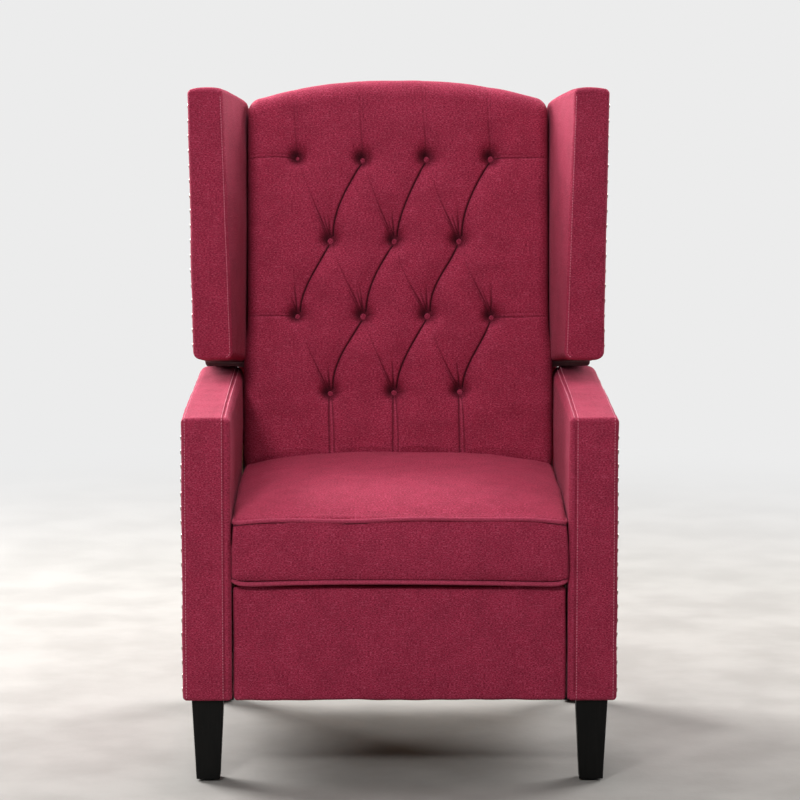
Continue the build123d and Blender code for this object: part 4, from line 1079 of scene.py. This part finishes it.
def make_seat_band():
    """Bulging front band of the seat, drawn in at its seams."""
    radius = 5 * MM
    low, high = SEAT_BAND_LOW_Z, SEAT_WELT_Z
    depth = seat_frame_low.y - 1.0 * MM - FRONT_Y
    size = (2 * SEAT_HALF_WIDTH - 4 * MM, depth, high - low)
    extra = ((), (), near_edges(high - low, radius, 12, 1.3 * MM))
    points, outward, share, faces = rounded_box(size, radius, 5.5 * MM, extra)
    share_x, _, share_z = share.T
    front = np.clip(-outward[:, 1], 0, 1)
    belly = (1 - share_z**2) ** 0.7 + 0.12 * (1 - share_z) * (1 - share_z**6)
    swell = BAND_BULGE * front * np.clip(belly, 0, None) * (1 - 0.5 * share_x**8)
    swell += uneven(points, (0.9, 0.13, 81), (0.35, 0.04, 82))
    puckers = 0.8 * MM * np.sin(points[:, 0] * 2 * pi / (27 * MM) + 2.1 * np.sin(points[:, 0] * 33))
    puckers *= smooth(np.abs(share_z), 0.72, 0.98) * smooth(np.abs(share_x), 0.5, 0.95)
    points = points + outward * (swell + puckers * front)[:, None]
    points[:, 0] *= 1 + 0.006 * (1 - share_z)
    points[:, 1] += FRONT_Y + depth / 2
    points[:, 2] += (low + high) / 2
    cover = make_pad("seat_band", points, faces, "seat", ["seat_cushion"])
    x, _, z = points.T
    # Painted shadow in the seams, just under the upper welt and just over the lower one.
    welt_shadow = 0.85 * bell(z - (UPPER_WELT_Z + upper_wave(x) - UPPER_WELT), WELT_LINE)
    welt_shadow += 0.7 * bell(z - (LOWER_WELT_Z + lower_wave(x) + LOWER_WELT), WELT_LINE)
    keep_painted_shade(cover, welt_shadow * smooth(-outward[:, 1], 0.2, 0.8))


def make_welt(name, radius, z, half, forward, back, wave):
    """Piped seam of the seat: across the front, round both corners and back along the sides."""
    front = FRONT_Y - forward
    turned = front + WELT_CORNER
    left = [(-half, y) for y in np.linspace(turned + back, turned, 30)]
    for angle in np.linspace(0, pi / 2, 9)[1:-1]:
        left.append((-half + WELT_CORNER * (1 - cos(angle)), front + WELT_CORNER * (1 - sin(angle))))
    middle = [(x, front) for x in np.linspace(-half + WELT_CORNER, half - WELT_CORNER, 110)]
    right = [(-x, y) for x, y in reversed(left)]
    path = [(x, y, z + wave(x)) for x, y in left + middle + right]
    make_piece(name, *tube(path, radius), "seat")


DECK_WIDTH = 492 * MM


def make_seat_deck():
    """Thin cloth deck that closes the seat under the back."""
    y_low, y_high = FRONT_Y + SEAT_DEPTH - 4 * MM, SEAT_REAR_Y
    size = (DECK_WIDTH, y_high - y_low, 4 * MM)
    points, _, _, faces = rounded_box(size, 1.6 * MM, 6 * MM)
    points[:, 2] += uneven(points, (0.4, 0.08, 91))
    points += np.array((0, (y_low + y_high) / 2, SEAT_BOTTOM_Z + 2.4 * MM))
    deck = make_piece("seat_deck_cloth", points, faces, "seat")
    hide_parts("seat_cushion")


# ---------------------------------------------------------------- footrest
PAD_SPREAD = 3 * MM  # the cover's fullness on each side
PAD_CORNER = 8 * MM
PAD_DRAW_IN = 0.7  # share of a full round corner


def make_footrest():
    """Upholstered panel with a slight crown and rounded corners."""
    size = np.array(pad_high - pad_low + Vector((2 * PAD_SPREAD, 0, 0)))
    points, outward, share, faces = rounded_box(size, 6 * MM, 5.5 * MM)
    nx, ny, _ = outward.T
    far = np.clip(np.abs(points) - (size / 2 - PAD_CORNER), 0, None)
    pull = PAD_DRAW_IN * np.clip(np.hypot(far[:, 0], far[:, 2]) - PAD_CORNER, 0, None)
    swell = 3.6 * MM * np.clip(-ny, 0, 1) * puff(share[:, 0], share[:, 2])
    swell += uneven(points, (0.9, 0.15, 95), (0.3, 0.045, 96)) - 0.8 * MM * np.abs(nx)
    points = points + outward * swell[:, None]
    points -= np.sign(points) * pull[:, None] * (1, 0, 1)
    points += np.array((pad_low + pad_high) / 2)
    points[:, 1] = np.minimum(points[:, 1], pad_high.y)
    make_pad("footrest_cover", points, faces, "footrest", ["footrest_pad"])


# ---------------------------------------------------------------- outside back and rear apron
def soften(node, name, voxel, body, shape):
    """Soft copy of a plain cloth-covered panel: evenly meshed, rounded and shaped."""
    piece = add_object(name, frame["nodes"][node].data.copy())
    remesh = piece.modifiers.new("remesh", "REMESH")
    remesh.mode = "VOXEL"
    remesh.voxel_size = voxel
    relax = piece.modifiers.new("relax", "SMOOTH")
    relax.iterations = 4
    relax.factor = 0.5
    graph = bpy.context.evaluated_depsgraph_get()
    mesh = bpy.data.meshes.new_from_object(piece.evaluated_get(graph))
    piece.modifiers.clear()
    piece.data = mesh
    places, normals = np.zeros((2, len(mesh.vertices) * 3))
    mesh.vertices.foreach_get("co", places)
    mesh.vertices.foreach_get("normal", normals)
    mesh.vertices.foreach_set("co", shape(places.reshape(-1, 3), normals.reshape(-1, 3)).ravel())
    mesh.polygons.foreach_set("use_smooth", [True] * len(mesh.polygons))
    mesh.materials.clear()
    mesh.materials.append(materials["upholstery"])
    mesh.update()
    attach(piece, body)
    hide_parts(node)
    return piece


BACK_SPREAD = 20 * MM
SPREAD_BAND = ((0.462, 0.475), (0.592, 0.604))  # heights where the spread grows and ends
BORDER = 14 * MM  # of the stitches, from the panel's edge


def shape_outside_back(places, normals):
    rear = np.clip(normals[:, 1], 0, 1)
    inner = 1 - (np.abs(places[:, 0]) / WING_REAR_OUTER) ** 6
    swell = rear * inner * 2.2 * MM + uneven(places, (0.6, 0.16, 97)) * rear
    places = places + normals * swell[:, None]
    # Behind the arms' ends the panel spreads, and closes the gap beside them.
    grows, ends = SPREAD_BAND
    behind_arms = smooth(places[:, 2], *grows) * (1 - smooth(places[:, 2], *ends))
    narrow = np.abs(places[:, 0]) < BACK_HALF_WIDTH + 2 * MM
    outer = smooth(np.abs(places[:, 0]), 0.2, 0.26) * narrow
    places[:, 0] += np.sign(places[:, 0]) * BACK_SPREAD * behind_arms * outer
    return places


def make_outside_back():
    """Cloth panel over the rear of the back, with a stitched border."""
    panel = soften("outside_back", "outside_back_cover", 4 * MM, "back", shape_outside_back)
    half, low_half = WING_REAR_OUTER - BORDER, BACK_HALF_WIDTH - BORDER
    wing_level = (wing_low.z - BACK_PIVOT_Z + FRAME_DEPTH * sin(LEAN)) / cos(LEAN)
    foot, shoulder = BACK_BOTTOM + BORDER, wing_level + BORDER
    right = [(low_half, foot), (low_half, shoulder), (half, shoulder), (half, BACK_CORNER - BORDER)]
    outline = [(-low_half, foot), *right, *((-x, level) for x, level in reversed(right))]
    places = [tuple(on_back(x, level, -FRAME_DEPTH - 8 * MM)) for x, level in outline]
    inward = (0, -cos(LEAN), sin(LEAN))
    rows = [(ends, inward) for ends in zip(places, places[1:])]
    stitch_rows("outside_back_stitching", tree_of(panel), rows, "back")


def shape_apron(places, normals):
    swell = uneven(places, (0.5, 0.1, 98)) * np.clip(normals[:, 1], 0, 1)
    return places + normals * swell[:, None]


# ---------------------------------------------------------------- build the soft pieces
for side, word in ((1, "right"), (-1, "left")):
    make_arm(side, word)
    make_wing(side, word)
buttons = button_places()
make_back(buttons)
make_buttons(buttons)
make_seat_top()
make_seat_band()
upper_half, lower_half = SEAT_HALF_WIDTH - 2.4 * MM, SEAT_HALF_WIDTH - 0.6 * MM
make_welt("seat_upper_welt", UPPER_WELT, UPPER_WELT_Z, upper_half, 2.6 * MM, 440 * MM, upper_wave)
make_welt("seat_lower_welt", LOWER_WELT, LOWER_WELT_Z, lower_half, 6.5 * MM, 12 * MM, lower_wave)
make_seat_deck()
make_footrest()
make_outside_back()
soften("rear_apron", "rear_apron_cover", 2.2 * MM, "base", shape_apron)

# ---------------------------------------------------------------- floor, light and camera
BACKDROP = srgb(236, 236, 236)
FLOOR_COLORS = srgb(139, 136, 132), srgb(150, 147, 143)
FLOOR_HALF = 60.0
FLOOR_REACH = (0.9, 3.2)  # metres from the middle of the chair
SKY = (0.97, 0.985, 1.0, 1)
SKY_STRENGTH = 0.12
LAMPS = {  # place, aim, width, power
    "window": ((-2.6, 2.0, 2.3), (0, 0.1, 0.7), 2.0, 350),
    "window_right": ((2.6, 2.0, 2.3), (0, 0.1, 0.7), 2.0, 170),
    "overhead": ((-0.3, 0.6, 3.4), (0, 0.1, 0.6), 2.0, 84),
    "key": ((-1.0, -3.0, 2.2), (0, 0, 1.0), 0.5, 52),
    "front": ((0.1, -2.7, 2.7), (0, 0, 0.95), 1.5, 19),
    "fill": ((3.2, -2.4, 1.6), (0, 0, 0.6), 2.2, 4),
}
CAMERA_PLACE = (-0.03, -6.386, 1.48)
CAMERA_TURN = (radians(90 - 8.1), 0, radians(-0.29))
CAMERA_LENS = 171.3


def make_floor():
    """Plain pale floor, which pales evenly into the background away from the chair."""
    shader = Shader("pale_floor")
    place = shader.place()
    speck = shader.noise(place, 6.0, detail=4.0)
    pile = shader.noise(place, 90.0, detail=3.0)
    shader.set(
        Base_Color=shader.stain(FLOOR_COLORS[0], (speck, 0.3, 0.7, 1.0, FLOOR_COLORS[1])),
        Roughness=0.8,
        Specular_IOR_Level=0.1,
        Normal=shader.bump(pile, 0.2, 2 * MM),
    )
    glow = shader.node("ShaderNodeEmission", {"Color": BACKDROP}).outputs[0]
    seen = shader.node("ShaderNodeLightPath").outputs["Is Camera Ray"]
    away = shader.span(shader.vector_math("LENGTH", place), *FLOOR_REACH)
    inputs = (shader.math("MULTIPLY", away, seen), shader.surface.outputs["BSDF"], glow)
    blend = shader.node("ShaderNodeMixShader", inputs)
    shader.link(blend.outputs[0], shader.output.inputs["Surface"])
    mesh = bpy.data.meshes.new("floor")
    corners = [(x * FLOOR_HALF, y * FLOOR_HALF, 0) for x, y in ((-1, -1), (1, -1), (1, 1), (-1, 1))]
    mesh.from_pydata(corners, [], [(0, 1, 2, 3)])
    mesh.materials.append(shader.material)
    add_object("floor", mesh)


def make_world():
    """Even pale surroundings, with their own brightness where they show."""
    world = bpy.data.worlds.new("surroundings")
    bpy.context.scene.world = world
    world.use_nodes = True
    tree = world.node_tree
    tree.nodes.clear()
    output, path, mix = (
        tree.nodes.new(f"ShaderNode{kind}") for kind in ("OutputWorld", "LightPath", "MixShader")
    )
    tree.links.new(path.outputs["Is Camera Ray"], mix.inputs[0])
    for socket, color, strength in ((1, SKY, SKY_STRENGTH), (2, BACKDROP, 1.0)):
        glow = tree.nodes.new("ShaderNodeBackground")
        glow.inputs["Color"].default_value = color
        glow.inputs["Strength"].default_value = strength
        tree.links.new(glow.outputs[0], mix.inputs[socket])
    tree.links.new(mix.outputs[0], output.inputs["Surface"])


make_floor()
make_world()
for name, (place, aim, width, power) in LAMPS.items():
    lamp = bpy.data.lights.new(name, "AREA")
    lamp.shape = "SQUARE"
    lamp.size = width
    lamp.energy = power
    holder = add_object(name, lamp)
    holder.location = place
    holder.rotation_euler = (Vector(aim) - Vector(place)).to_track_quat("-Z", "Y").to_euler()

camera = bpy.data.cameras.new("camera")
camera.lens = CAMERA_LENS
camera.sensor_width = 36
camera.clip_end = 200
camera_holder = add_object("camera", camera)
camera_holder.location = CAMERA_PLACE
camera_holder.rotation_euler = CAMERA_TURN
bpy.context.scene.camera = camera_holder
bpy.context.scene.view_settings.view_transform = "Standard"
